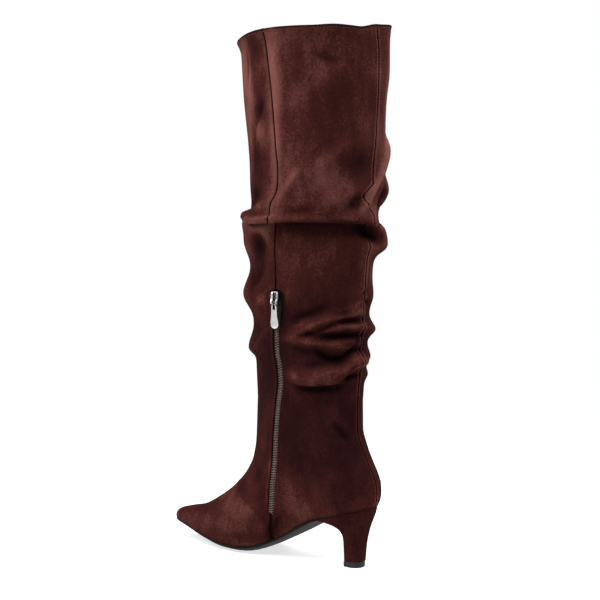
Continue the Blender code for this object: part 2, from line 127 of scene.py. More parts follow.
# Sole's top edge: its height and half widths along the foot
FEATHER = table(
    "ahead   height  inner  outer",
    (0.0,    59.5,   0.0,   0.0),
    (5.0,    58.6,   15.5,  15.5),
    (14.0,   55.9,   23.0,  23.0),
    (30.0,   51.3,   26.5,  26.5),
    (51.0,   45.8,   25.0,  26.0),
    (77.0,   34.0,   19.5,  24.0),
    (106.0,  17.6,   21.0,  28.5),
    (131.0,  9.2,    26.5,  33.0),
    (151.0,  7.3,    28.5,  34.0),
    (171.0,  8.2,    26.5,  32.0),
    (196.0,  12.0,   21.5,  25.0),
    (221.0,  17.0,   14.5,  17.0),
    (236.0,  19.4,   9.5,   11.0),
    (244.0,  20.4,   0.0,   0.0))

# Foot's rings from the sole's edge (0) to the ankle (1): profiles, swell and the inner seam's angle
FOOT = table(
    "ring   front_ahead  front_height  back_ahead  back_height  swell  seam",
    (0.00,  244.0,       20.4,         0.0,        59.5,        0.0,   98.5),
    (0.03,  245.0,       23.6,         -1.6,       62.8,        1.4,   97.9),
    (0.06,  243.0,       27.6,         -2.8,       66.2,        2.5,   97.2),
    (0.09,  238.0,       30.8,         -3.3,       69.2,        3.2,   96.2),
    (0.13,  229.5,       33.4,         -3.4,       72.8,        3.7,   95.0),
    (0.24,  207.0,       38.7,         -2.6,       82.0,        3.6,   91.5),
    (0.36,  183.0,       51.3,         1.0,        92.0,        2.4,   87.5),
    (0.46,  165.0,       64.0,         5.5,        101.0,       1.2,   83.5),
    (0.56,  149.5,       79.0,         10.0,       110.0,       0.4,   80.0),
    (0.68,  138.0,       98.0,         14.5,       121.0,       0.0,   78.0),
    (0.80,  133.5,       118.0,        17.8,       133.0,       0.0,   78.5),
    (1.00,  131.0,       160.0,        18.0,       160.0,       0.0,   82.0))

# Shaft: middle and half sizes of its oval
LEG = table(
    "height  middle_ahead  half_length  half_width",
    (160.0,  74.5,         56.5,        41.8),
    (200.0,  73.8,         58.5,        44.4),
    (250.0,  73.0,         60.5,        49.5),
    (300.0,  71.0,         62.0,        55.0),
    (350.0,  69.5,         63.5,        61.0),
    (400.0,  66.5,         67.0,        65.0),
    (450.0,  67.5,         70.0,        67.0),
    (515.0,  68.8,         74.6,        71.4))

# Angles of the inner and the back seam
SEAMS = table(
    "height  inner  back",
    (160.0,  82.0,  178.0),
    (180.0,  85.5,  178.5),
    (195.0,  84.5,  178.5),
    (210.0,  82.0,  178.0),
    (225.0,  82.5,  178.0),
    (250.0,  84.0,  178.5),
    (275.0,  84.0,  180.5),
    (300.0,  84.0,  181.5),
    (328.0,  85.5,  181.0),
    (342.0,  86.0,  179.0),
    (350.0,  85.5,  175.0),
    (357.0,  86.0,  168.5),
    (364.0,  90.0,  166.5),
    (369.0,  91.4,  171.5),
    (374.0,  91.4,  177.0),
    (384.0,  90.6,  178.5),
    (400.0,  88.2,  179.5),
    (450.0,  86.0,  181.5),
    (490.0,  84.0,  179.5),
    (515.0,  82.5,  174.0))

# Collar's edge round the leg
RIM = table(
    "angle   height",
    (0.0,    508.0),
    (45.0,   510.0),
    (80.0,   512.2),
    (120.0,  511.6),
    (138.0,  512.9),
    (156.0,  512.5),
    (172.0,  517.0),
    (182.0,  518.8),
    (204.0,  523.4),
    (220.0,  525.0),
    (250.0,  517.0),
    (280.0,  513.0),
    (315.0,  510.0),
    (360.0,  508.0))

# Half width of the zip's opening towards the front and the back; it widens round the slider
OPENING = table(
    "height  front  back",
    (47.0,   2.2,   1.6),
    (56.0,   4.9,   3.1),
    (120.0,  5.2,   3.3),
    (226.0,  5.2,   3.9),
    (240.0,  5.2,   6.2),
    (256.0,  5.2,   9.6),
    (263.0,  5.0,   10.4),
    (267.0,  4.0,   8.2),
    (269.5,  1.8,   3.6),
    (271.0,  0.4,   0.4),
    (275.5,  0.4,   0.4),
    (282.0,  2.6,   2.6))

# Each fold lies round an angle at a height along a sloped and bent line, swells or sinks, and droops
FOLDS = table(
    "angle   height  slope   bend     span   flat  swell  above  below  droop",
    # the overhanging lip, its corner at the back, its outer side and its roll at the front
    (126.0,  341.7,  -0.02,  -0.0001, 82.0,  10,   7.0,   34.0,  3.0,   9.0),
    (186.0,  337.0,  0.0,    0.0,     14.0,  2,    1.0,   10.0,  3.0,   2.5),
    (136.0,  330.5,  -0.02,  0.0002,  60.0,  10,   -3.0,  4.0,   9.0,   0.0),
    (-105.0, 338.0,  0.0,    0.0,     75.0,  4,    6.5,   36.0,  5.0,   6.0),
    (5.0,    315.0,  0.11,   0.0,     74.0,  2,    10.8,  28.0,  20.0,  0.0),
    (65.0,   328.0,  -0.05,  0.0,     19.0,  4,    3.4,   5.0,   9.0,   0.0),
    (30.0,   334.5,  0.0,    0.0,     26.0,  2,    3.4,   3.5,   8.0,   0.0),
    (48.0,   354.5,  0.32,   0.0,     34.0,  2,    -5.6,  12.0,  5.0,   0.0),
    # above the lip
    (112.0,  351.0,  0.0,    0.0,     16.0,  2,    -2.2,  3.5,   4.0,   0.0),
    (103.0,  372.0,  1.4,    0.0,     14.0,  2,    2.4,   6.0,   6.0,   0.0),
    (138.0,  394.0,  0.67,   0.0,     26.0,  2,    2.8,   8.0,   8.0,   0.0),
    (160.0,  382.0,  0.4,    0.0,     26.0,  2,    -3.5,  12.0,  10.0,  0.0),
    (142.0,  359.0,  0.15,   0.0,     20.0,  2,    2.4,   7.0,   7.0,   0.0),
    (158.0,  357.0,  0.3,    0.0,     13.0,  2,    -6.0,  5.0,   5.0,   0.0),
    (189.0,  384.0,  1.25,   0.0,     32.0,  4,    6.0,   4.0,   4.5,   0.0),
    (200.0,  368.0,  1.0,    0.0,     20.0,  2,    -11.0, 6.0,   8.0,   0.0),
    (178.0,  350.0,  0.0,    0.0,     20.0,  2,    1.8,   8.0,   7.0,   0.0),
    (216.0,  401.0,  0.0,    0.0,     42.0,  2,    1.2,   15.0,  13.0,  0.0),
    (218.0,  370.0,  0.0,    0.0,     42.0,  2,    6.5,   14.0,  11.0,  0.0),
    (216.0,  346.0,  0.0,    0.0,     36.0,  2,    -9.0,  9.0,   8.0,   0.0),
    # the round bulge at the back under the lip, and the deep pocket beside it
    (214.0,  327.0,  0.0,    0.0,     46.0,  2,    8.4,   8.0,   11.0,  0.0),
    (212.0,  313.0,  0.0,    0.0,     46.0,  2,    11.2,  11.0,  10.0,  2.0),
    (188.0,  322.0,  -0.35,  0.0,     28.0,  2,    -11.0, 6.0,   8.0,   0.0),
    (208.0,  262.0,  0.0,    0.0,     44.0,  2,    3.0,   14.0,  10.0,  0.0),
    (172.0,  262.0,  0.0,    0.0,     12.0,  2,    1.6,   6.0,   6.0,   0.0),
    (178.0,  265.0,  0.5,    0.0,     10.0,  2,    -1.7,  2.2,   2.2,   0.0),
    (183.0,  257.0,  -0.4,   0.0,     10.0,  2,    -1.5,  2.0,   2.0,   0.0),
    (168.0,  255.0,  0.3,    0.0,     10.0,  2,    1.2,   2.4,   2.4,   0.0),
    # front rolls
    (0.0,    261.0,  0.16,   0.0,     85.0,  2,    13.0,  18.0,  17.0,  1.0),
    (0.0,    215.0,  -0.14,  0.0,     80.0,  2,    9.0,   15.0,  7.0,   2.0),
    (-12.0,  296.0,  0.5,    0.0,     34.0,  2,    -3.5,  6.0,   6.0,   0.0),
    (-4.0,   281.0,  -0.35,  0.0,     30.0,  2,    2.5,   5.0,   5.0,   1.0),
    (-20.0,  243.0,  -0.45,  0.0,     36.0,  2,    3.0,   5.0,   4.5,   1.0),
    (2.0,    233.0,  0.4,    0.0,     30.0,  2,    -3.2,  4.0,   4.0,   0.0),
    (-26.0,  226.0,  0.2,    0.0,     30.0,  4,    2.6,   4.0,   4.0,   1.0),
    (-6.0,   196.0,  0.25,   0.0,     36.0,  2,    2.4,   5.0,   4.0,   1.0),
    (-14.0,  366.0,  0.5,    0.0,     34.0,  2,    2.6,   8.0,   7.0,   0.0),
    (-30.0,  376.0,  -0.5,   0.0,     30.0,  2,    -2.6,  7.0,   7.0,   0.0),
    (61.0,   310.0,  0.2,    0.0,     18.0,  2,    -4.2,  11.0,  13.0,  0.0),
    (60.0,   279.0,  0.9,    0.0,     18.0,  2,    -2.6,  8.0,   8.0,   0.0),
    (66.0,   258.0,  0.5,    0.0,     16.0,  2,    2.4,   6.0,   6.0,   0.0),
    (58.0,   243.0,  -0.6,   0.0,     20.0,  2,    1.8,   6.0,   6.0,   0.0),
    (62.0,   222.0,  0.7,    0.0,     18.0,  2,    1.8,   5.0,   5.0,   0.0),
    # gathered folds over the ankle
    (116.0,  245.5,  0.37,   0.0,     26.0,  2,    -3.2,  4.5,   5.0,   0.0),
    (140.0,  243.0,  0.27,   -0.004,  50.0,  4,    3.8,   4.5,   3.5,   1.5),
    (164.0,  240.0,  0.0,    0.0,     24.0,  2,    -3.6,  2.6,   2.6,   0.0),
    (150.0,  235.0,  0.16,   0.0,     36.0,  4,    3.2,   3.5,   3.5,   1.5),
    (172.0,  234.0,  0.0,    0.0,     20.0,  2,    2.6,   3.5,   4.0,   1.0),
    (210.0,  231.0,  0.0,    0.0,     50.0,  2,    7.5,   8.0,   8.0,   1.0),
    (212.0,  204.0,  0.0,    0.0,     44.0,  2,    4.5,   8.0,   7.0,   1.0),
    (152.0,  225.5,  0.04,   0.0,     34.0,  4,    -4.0,  3.6,   3.0,   0.0),
    (132.0,  219.5,  -0.07,  0.0,     52.0,  4,    4.0,   5.0,   4.5,   2.0),
    (146.0,  203.0,  0.14,   0.0217,  30.0,  4,    -5.2,  4.0,   4.2,   0.0),
    (172.0,  211.5,  0.0,    0.0,     16.0,  2,    -3.5,  3.0,   3.0,   0.0),
    (174.0,  201.0,  -0.1,   0.0,     30.0,  2,    6.5,   6.0,   6.0,   1.5),
    (144.0,  193.0,  0.12,   0.0,     36.0,  4,    3.4,   4.5,   4.5,   1.0),
    (208.0,  186.0,  0.0,    0.0,     44.0,  2,    3.0,   6.0,   6.0,   0.0),
    (162.0,  185.5,  0.1,    0.0,     20.0,  2,    -3.6,  2.2,   2.2,   0.0),
    (100.0,  187.0,  0.0,    0.0,     12.0,  2,    2.0,   5.0,   5.0,   0.0),
    (128.0,  183.0,  0.06,   0.0,     36.0,  4,    4.2,   7.0,   1.5,   4.6),
    (130.0,  177.0,  0.04,   0.0,     32.0,  4,    -3.0,  2.0,   5.0,   0.0),
    (108.0,  236.0,  0.55,   0.0,     12.0,  2,    1.6,   2.6,   2.6,   0.0),
    (120.0,  229.0,  0.30,   0.0,     14.0,  2,    -1.6,  2.2,   2.2,   0.0),
    (132.0,  233.5,  0.35,   0.0,     12.0,  2,    -1.4,  1.8,   1.8,   0.0),
    (152.0,  247.5,  0.10,   0.0,     18.0,  2,    -1.6,  2.0,   2.0,   0.0),
    (158.0,  218.0,  -0.15,  0.0,     14.0,  2,    -1.3,  1.8,   1.8,   0.0),
    (112.0,  210.0,  -0.25,  0.0,     14.0,  2,    -1.4,  3.0,   3.0,   0.0),
    (122.0,  198.0,  0.20,   0.0,     12.0,  2,    -1.2,  2.4,   2.4,   0.0),
    (166.0,  197.0,  0.50,   0.0,     10.0,  2,    -1.6,  2.2,   2.2,   0.0),
    (150.0,  134.0,  -0.9,   0.0,     16.0,  2,    -2.4,  3.4,   4.5,   0.0),
    (150.0,  143.0,  -0.9,   0.0,     16.0,  2,    1.4,   6.0,   6.0,   0.0),
    # outer side
    (-118.0, 372.0,  0.6,    0.0,     30.0,  2,    3.2,   8.0,   8.0,   0.0),
    (-96.0,  360.0,  0.4,    0.0,     22.0,  2,    -3.5,  6.0,   6.0,   0.0),
    (-76.0,  382.0,  -0.7,   0.0,     26.0,  2,    2.6,   8.0,   8.0,   0.0),
    (-100.0, 326.0,  0.0,    0.0,     60.0,  4,    -2.5,  4.0,   8.0,   0.0),
    (-70.0,  292.0,  0.35,   0.0,     30.0,  2,    -2.6,  9.0,   9.0,   0.0),
    (-70.0,  249.0,  0.25,   0.0,     40.0,  4,    3.6,   5.0,   4.0,   1.5),
    (-95.0,  238.0,  0.20,   0.0,     36.0,  4,    -3.6,  3.5,   3.0,   0.0),
    (-108.0, 230.0,  -0.10,  0.0,     42.0,  4,    4.0,   5.0,   4.5,   2.0),
    (-85.0,  213.0,  0.05,   0.012,   34.0,  4,    -4.2,  4.0,   4.0,   0.0),
    (-116.0, 203.0,  0.15,   0.0,     36.0,  4,    3.6,   5.0,   4.0,   1.5),
    (-72.0,  196.0,  -0.15,  0.0,     34.0,  4,    3.2,   5.0,   4.0,   1.0),
    (-128.0, 188.0,  0.0,    0.0,     24.0,  2,    -3.0,  3.0,   3.0,   0.0),
    (-98.0,  181.0,  0.08,   0.0,     40.0,  4,    4.0,   7.0,   1.8,   4.0),
    (-98.0,  175.0,  0.05,   0.0,     34.0,  4,    -2.6,  2.0,   5.0,   0.0),
    (-118.0, 136.0,  0.8,    0.0,     16.0,  2,    -2.0,  5.0,   5.0,   0.0),
    # dents in the calf and puckers at the front
    (131.0,  482.0,  -0.5,   0.0,     12.0,  2,    -2.4,  5.0,   5.0,   0.0),
    (55.0,   483.0,  -1.0,   0.0,     8.0,   2,    -3.0,  16.0,  16.0,  0.0),
    (60.0,   470.0,  -1.6,   0.0,     8.0,   2,    1.6,   14.0,  14.0,  0.0),
    (71.0,   438.0,  1.0,    0.0,     10.0,  2,    -3.5,  18.0,  8.0,   0.0),
    (63.0,   446.0,  -2.2,   0.0,     10.0,  2,    1.8,   8.0,   8.0,   0.0),
    (71.0,   422.0,  2.2,    0.0,     9.0,   2,    2.2,   9.0,   9.0,   0.0),
    (44.0,   455.0,  0.0,    0.0,     8.0,   2,    2.0,   40.0,  40.0,  0.0),
    (214.0,  478.0,  0.0,    0.0,     40.0,  2,    1.8,   24.0,  18.0,  0.0))

# Band at the front, where the lip is folded flat: blunt above and below
BANDS = table(
    "angle   height  slope   bend     span   flat  swell  above  below  droop",
    (34.0,   344.6,  0.03,   0.0,     62.0,  6,    7.2,   2.0,   6.8,   1.0))

# Suede painted lighter or darker in soft patches: some are its own uneven tone, many are painted highlights
# on lit strips and painted shade in pockets, under the lip and in dents
TONE_AND_LIGHT_PATCHES = table(
    "angle   height  width   rise   lightness",
    (88.5,   450.0,  5.5,    85.0,  0.68),
    (52.0,   465.0,  10.0,   60.0,  0.74),
    (46.0,   352.0,  10.0,   4.5,   -0.50),
    (63.0,   359.0,  9.0,    7.0,   -0.75),
    (72.0,   350.0,  6.0,    3.5,   0.20),
    (52.0,   341.0,  24.0,   5.0,   -0.26),
    (105.0,  331.5,  15.0,   2.6,   -0.40),
    (138.0,  331.0,  22.0,   2.6,   -0.35),
    (61.0,   402.0,  5.0,    20.0,  -0.25),
    (73.0,   400.0,  4.0,    26.0,  0.15),
    (-60.0,  440.0,  18.0,   50.0,  0.22),
    (-105.0, 450.0,  26.0,   45.0,  -0.12),
    (-40.0,  330.0,  20.0,   14.0,  -0.20),
    (-95.0,  120.0,  40.0,   50.0,  -0.10),
    (60.0,   474.0,  4.0,    18.0,  0.35),
    (55.0,   482.0,  3.0,    12.0,  -0.70),
    (71.0,   438.0,  5.0,    11.0,  -0.60),
    (71.0,   420.0,  6.0,    10.0,  0.40),
    (70.0,   495.0,  9.0,    12.0,  -0.25),
    (98.0,   490.0,  9.0,    14.0,  -0.12),
    (62.0,   450.0,  5.0,    14.0,  0.30),
    (66.0,   385.0,  12.0,   26.0,  -0.35),
    (209.0,  455.0,  12.0,   60.0,  0.80),
    (160.0,  386.0,  18.0,   14.0,  -0.20),
    (150.0,  440.0,  22.0,   50.0,  -0.10),
    (110.0,  480.0,  14.0,   30.0,  0.08),
    (135.0,  372.0,  18.0,   12.0,  0.22),
    (104.0,  374.0,  10.0,   14.0,  0.25),
    (130.0,  318.0,  50.0,   9.0,   -0.12),
    (102.0,  312.0,  12.0,   14.0,  -0.18),
    (192.0,  320.0,  12.0,   8.0,   -0.60),
    (203.0,  364.0,  7.0,    7.0,   -0.60),
    (205.0,  305.0,  16.0,   8.0,   -0.35),
    (172.0,  328.0,  12.0,   5.0,   -0.50),
    (68.0,   328.0,  13.0,   5.0,   0.45),
    (76.0,   321.0,  6.0,    11.0,  0.32),
    (61.0,   310.0,  9.0,    13.0,  -0.62),
    (50.0,   281.0,  13.0,   15.0,  -0.50),
    (66.0,   257.0,  9.0,    8.0,   0.26),
    (46.0,   300.0,  8.0,    18.0,  0.25),
    (70.0,   200.0,  16.0,   30.0,  -0.20),
    (112.0,  262.0,  10.0,   20.0,  0.10),
    (150.0,  205.0,  40.0,   10.0,  -0.10),
    (150.0,  120.0,  40.0,   45.0,  -0.12),
    (150.0,  78.0,   36.0,   22.0,  -0.30),
    (91.0,   252.0,  4.0,    22.0,  -0.35),
    (100.0,  187.0,  6.0,    5.0,   0.25),
    (30.0,   40.0,   40.0,   18.0,  0.04),
    (70.0,   75.0,   14.0,   20.0,  -0.10),
    (60.0,   112.0,  9.0,    11.0,  0.25),
    (62.0,   84.0,   7.0,    8.0,   -0.22),
    (72.0,   97.0,   6.0,    8.0,   0.20),
    (75.0,   66.0,   6.0,    8.0,   -0.20),
    (68.0,   50.0,   16.0,   13.0,  0.14),
    (24.0,   38.0,   24.0,   9.0,   -0.45),
    (84.0,   18.0,   10.0,   5.0,   -0.22),
    (95.0,   264.0,  5.0,    7.0,   0.25),
    (97.5,   32.0,   2.6,    14.0,  -0.50),
    (135.0,  92.0,   14.0,   10.0,  0.14),
    (160.0,  66.0,   10.0,   10.0,  0.16),
    (112.0,  58.0,   14.0,   10.0,  0.10))

# Seam across the instep
VAMP = table(
    "angle   ring",
    (0.0,    0.50),
    (30.0,   0.48),
    (50.0,   0.42),
    (64.0,   0.37),
    (76.0,   0.31),
    (84.0,   0.25),
    (92.0,   0.14),
    (96.5,   0.00))

# Rings of the shaft, stretch by stretch
RING_STRETCHES = table(
    "start   end    steps",
    (160.0,  172.0, 8),
    (172.0,  245.0, 84),
    (245.0,  280.0, 32),
    (280.0,  318.0, 22),
    (318.0,  352.0, 52),
    (352.0,  410.0, 36),
    (410.0,  515.0, 46))

# Columns between the stops round a ring, crowded towards them
COLUMN_STRETCHES = table(
    "steps  crowd",
    (44,    0.5),
    (2,     0.0),
    (2,     0.0),
    (64,    0.5),
    (50,    0.5),
    (44,    0.5))
COLUMN_STOPS = np.cumsum(COLUMN_STRETCHES["steps"]).astype(int)
SLIT_FRONT, SEAM_COLUMN, SLIT_BACK, BACK_COLUMN, OUTER_COLUMN = COLUMN_STOPS[:5]


def smooth(rows, key, value, at):
    """The value at a key, on the monotone cubic through a table's rows."""
    x = rows[key]
    y = rows[value]
    step = np.diff(x)
    rise = np.diff(y) / step
    product = rise[1:] * rise[:-1]
    total = np.where(product > 0, rise[1:] + rise[:-1], 1.0)
    inside = np.where(product > 0, 2 * product / total, 0.0)
    slope = np.concatenate([rise[:1], inside, rise[-1:]])
    at = np.asarray(at, float)
    i = np.clip(np.searchsorted(x, at) - 1, 0, len(step) - 1)
    t = np.clip((at - x[i]) / step[i], 0, 1)
    start = y[i] * (1 + 2 * t) * (1 - t) ** 2 + slope[i] * step[i] * t * (1 - t) ** 2
    end = y[i + 1] * t * t * (3 - 2 * t) + slope[i + 1] * step[i] * t * t * (t - 1)
    return start + end


def ease(value, start, end):
    """Smooth step from 0 at start to 1 at end."""
    t = np.clip((value - start) / (end - start), 0, 1)
    return t * t * (3 - 2 * t)


def bell(distance, width):
    """Bell that is 1 at no distance and falls off over a width."""
    return np.exp(-(distance / width) ** 2)


def turn_from(degrees, start):
    """Turn from a start in degrees, between -180 and 180."""
    return (degrees - start + 180) % 360 - 180


def unit(vectors):
    """Vectors of length one."""
    return vectors / np.linalg.norm(vectors, axis=-1, keepdims=True)


def feather_width(ahead, side):
    """Half width of the foot at the sole's top edge; squares are interpolated, which rounds both ends."""
    squares = {"ahead": FEATHER["ahead"], "inner": FEATHER["inner"] ** 2, "outer": FEATHER["outer"] ** 2}
    inner = smooth(squares, "ahead", "inner", ahead)
    outer = smooth(squares, "ahead", "outer", ahead)
    return np.sqrt(np.maximum(np.where(np.asarray(side) > 0, inner, outer), 0.0))


def feather_height(ahead):
    """Height of the sole's top edge."""
    return smooth(FEATHER, "ahead", "height", ahead)


def foot_point(ring, angle):
    """Point of the foot at a ring (0 sole edge, 1 ankle) and an angle.

    A ring runs from the front profile to the back profile. Its height keeps a share of the sole edge's
    dip, and its half width turns from the sole's outline into the oval of the ankle.
    """
    share = (1 - np.cos(angle)) / 2
    front = smooth(FOOT, "ring", "front_ahead", ring)
    back = smooth(FOOT, "ring", "back_ahead", ring)
    ahead = front + (back - front) * share
    front_height = smooth(FOOT, "ring", "front_height", ring)
    back_height = smooth(FOOT, "ring", "back_height", ring)
    sole_ahead = FOOT["front_ahead"][0] * (1 - share)
    sole_chord = FOOT["front_height"][0] + (FOOT["back_height"][0] - FOOT["front_height"][0]) * share
    dip = (feather_height(sole_ahead) - sole_chord) * (1 - ring) ** 2
    height = front_height + (back_height - front_height) * share + dip
    turn = ring * ring * (3 - 2 * ring)
    ankle = LEG["half_width"][0] * np.abs(np.sin(angle))
    side = np.sign(np.sin(angle))
    width = np.sqrt(feather_width(sole_ahead, side) ** 2 * (1 - turn) + ankle ** 2 * turn)
    width = width + smooth(FOOT, "ring", "swell", ring) * np.abs(np.sin(angle))
    swing = TOE_SWING * ((1 - share) * (1 - ring)) ** 2
    return np.stack([side * width + swing, HEEL_BACK_Y - ahead, height], -1)


def rim_height(angle):
    """Height of the collar's edge round the leg."""
    return smooth(RIM, "angle", "height", np.degrees(angle) % 360)


def leg_point(level, angle):
    """Point of the smooth shaft: an oval at a ring's level.

    Above COLLAR_START the rings fan out to the rim's height, and the last of them flare outwards.
    """
    end = RING_STRETCHES["end"][-1]
    share = (level - COLLAR_START) / (end - COLLAR_START)
    height = np.where(share > 0, COLLAR_START + (rim_height(angle) - COLLAR_START) * share, level)
    half_length = smooth(LEG, "height", "half_length", height)
    half_width = smooth(LEG, "height", "half_width", height)
    most = RIM_FLARE_BACK + (RIM_FLARE_FRONT - RIM_FLARE_BACK) * (1 + np.cos(angle)) / 2
    flare = most * np.clip(1 - (rim_height(angle) - height) / RIM_FLARE_DEPTH, 0, 1) ** 2
    ahead = smooth(LEG, "height", "middle_ahead", height) + (half_length + flare) * np.cos(angle)
    return np.stack([(half_width + flare) * np.sin(angle), HEEL_BACK_Y - ahead, height + 0 * angle], -1)


def fold_shift(angle, height):
    """Outward and downward shift by the folds, and how far each point is on a crest or in a hollow.

    Each fold is a ridge along a sloped and bent line round the leg. It fades to both ends as one less a
    power of the way there, squared, and falls off above and below the line as a bell with a width of its
    own for each side. The bell of a band is flatter: its distance is raised to the fourth power in place
    of the second.
    """
    degrees = np.degrees(angle)
    outward = np.zeros(np.broadcast(angle, height).shape)
    downward = np.zeros_like(outward)
    crest = np.zeros_like(outward)
    rows = [(fold, 2, 1.0) for fold in zip(*FOLDS.values())]
    rows += [(band, 4, BAND_CREST) for band in zip(*BANDS.values())]
    for values, power, share in rows:
        fold = dict(zip(FOLDS, values))
        turn = turn_from(degrees, fold["angle"])
        window = (1 - np.minimum(np.abs(turn) / fold["span"], 1) ** fold["flat"]) ** 2
        rise = height - fold["height"] - fold["slope"] * turn - fold["bend"] * turn ** 2
        ridge = window * np.exp(-(rise / np.where(rise > 0, fold["above"], fold["below"])) ** power)
        outward += fold["swell"] * ridge
        downward += fold["droop"] * ridge
        crest += fold["swell"] * ridge / max(fold["above"], fold["below"]) * share
    return outward, downward, crest


def spread(start, end, steps, crowd):
    """Values from start up to, but not with, end, crowded towards both by a sine."""
    even = np.arange(steps) / steps
    share = even - crowd * np.sin(2 * np.pi * even) / (2 * np.pi)
    return start + (end - start) * share


def column_angles(point, level, inner, back):
    """Angles of every ring's columns.

    They run from the front over the slit's front edge, the inner seam, the slit's back edge, the back seam
    and the outer seam to the front again.
    """
    probe = np.radians(1.0)
    chord = point(level, inner + probe) - point(level, inner - probe)
    reach = np.linalg.norm(chord, axis=-1) / (2 * probe)
    height = point(level, inner)[..., 2]
    front_edge = inner - smooth(OPENING, "height", "front", height) / reach
    back_edge = inner + smooth(OPENING, "height", "back", height) / reach
    stops = [0 * inner, front_edge, inner, back_edge, back, 2 * np.pi - inner, 2 * np.pi + 0 * inner]
    parts = []
    for start, end, steps, crowd in zip(stops[:-1], stops[1:], *COLUMN_STRETCHES.values()):
        parts.append(spread(start, end, int(steps), crowd))
    return np.concatenate(parts, 1)


def normals_of(grid):
    """Unit normals of a grid that is closed round its columns."""
    along = np.roll(grid, -1, 1) - np.roll(grid, 1, 1)
    upward = np.gradient(grid, axis=0)
    normal = np.cross(along, upward)
    return normal / np.maximum(np.linalg.norm(normal, axis=-1, keepdims=True), 1e-9)


def leg_levels():
    """Levels of the shaft's rings, from the short table of stretches."""
    parts = []
    for start, end, steps in zip(*RING_STRETCHES.values()):
        parts.append(np.linspace(start, end, int(steps) + 1)[:-1])
    return np.concatenate(parts + [RING_STRETCHES["end"][-1:]])


def skin_grid():
    """Outer surface of the upper by ring and column: points, angles, and crests of the folds."""
    ring = (spread(0.0, 1.0, FOOT_RINGS, 0.0) ** FOOT_CROWD)[:, None]
    seam = np.radians(smooth(FOOT, "ring", "seam", ring))
    back = np.pi + (np.radians(SEAMS["back"][0]) - np.pi) * ring
    foot_angles = column_angles(foot_point, ring, seam, back)
    level = leg_levels()[:, None]
    seam = np.radians(smooth(SEAMS, "height", "inner", level))
    back = np.radians(smooth(SEAMS, "height", "back", level))
    leg_angles = column_angles(leg_point, level, seam, back)
    grid = np.concatenate([foot_point(ring, foot_angles), leg_point(level, leg_angles)])
    angles = np.concatenate([foot_angles, leg_angles])
    normals = normals_of(grid)
    outward, downward, crest = fold_shift(angles, grid[..., 2])
    grid = grid + normals * outward[..., None]
    grid[..., 2] -= downward
    return grid, angles, crest


def patch_tone_and_light(angles, heights):
    """Lightness of the suede: soft bells round an angle and a height, partly its own tone and partly painted
    highlight and painted shade, with painted shade over the lower leg.
    """
    degrees = np.degrees(angles)
    total = np.zeros(angles.shape)
    for angle, height, width, rise, lightness in zip(*TONE_AND_LIGHT_PATCHES.values()):
        total += lightness * bell(turn_from(degrees, angle), width) * bell(heights - height, rise)
    lower = ease(heights, *LOWER_SHADE_START) * (1 - ease(heights, *LOWER_SHADE_END))
    return total - LOWER_SHADE * lower


def heel_shadow(angles):
    """Dark line along the heel's top edge: rings close to the sole edge, from the breast round the back."""
    ring = np.arange(len(angles))[:, None]
    turned = np.abs(turn_from(np.degrees(angles), 0.0))
    return bell(ring, HEEL_SHADE_RINGS) * ease(turned, *HEEL_SHADE_START)


def zip_edge(inner, heights):
    """Share of the rolled edge in front of the zip, a narrow bell along the slit."""
    start = ease(heights, SLIT_BOTTOM, SLIT_BOTTOM + ZIP_EDGE_FADE)
    end = ease(heights, SLIT_TOP - ZIP_EDGE_FADE, SLIT_TOP)
    return bell(inner + ZIP_EDGE_AWAY, ZIP_EDGE_WIDTH) * start * (1 - end)


def seam_relief(marks, heights, rim):
    """How far the seams, the rim and the zip's surround stand out of the skin.

    Seams are narrow grooves. Behind the inner seam its allowance stands up as a flat strip, and beside
    the back seam two narrow ones. The leg's side of the instep's seam is raised. A ridge runs in an arch
    round the zip's head, and a groove along the collar's stitches.
    """
    inner, back, outer, vamp = (marks[seam] for seam in SEAM_MARKS)
    strip = ease(inner, *STRIP_START) * (1 - ease(inner, *STRIP_END))
    closed = ease(heights, SLIT_TOP - 4, SLIT_TOP + 2)
    relief = STRIP_RISE * strip - INNER_GROOVE * bell(inner, INNER_GROOVE_WIDTH) * closed
    relief -= SEAM_GROOVE * (bell(back, SEAM_GROOVE_WIDTH) + bell(outer, SEAM_GROOVE_WIDTH))
    beside = np.abs(back)
    relief += BACK_STRIP_RISE * (ease(beside, *BACK_STRIP_START) - ease(beside, *BACK_STRIP_END))
    relief += np.where(vamp > 0, VAMP_RISE * np.exp(-np.abs(vamp) / VAMP_RISE_FADE), 0.0)
    relief -= VAMP_GROOVE * bell(vamp, SEAM_GROOVE_WIDTH)
    arch = np.hypot(inner / GARAGE_HALF_WIDTH, np.maximum(heights - GARAGE_HEIGHT, 0) / GARAGE_RISE)
    reach = ease(heights, *GARAGE_START)
    relief += GARAGE_RIDGE * reach * bell(arch - GARAGE_RIDGE_AT, GARAGE_RIDGE_WIDTH)
    relief += ZIP_EDGE_RISE * zip_edge(inner, heights)
    return relief - RIM_GROOVE * bell(rim - heights - STITCH_BELOW_RIM, RIM_GROOVE_WIDTH)


def arc_from(grid, column):
    """Signed length along each ring from a column, positive towards the back on the inner side."""
    step = np.linalg.norm(np.roll(grid, -1, 1) - grid, axis=-1)
    run = np.cumsum(step, 1) - step
    total = run[:, -1:] + step[:, -1:]
    return (run - run[:, column:column + 1] + total / 2) % total - total / 2


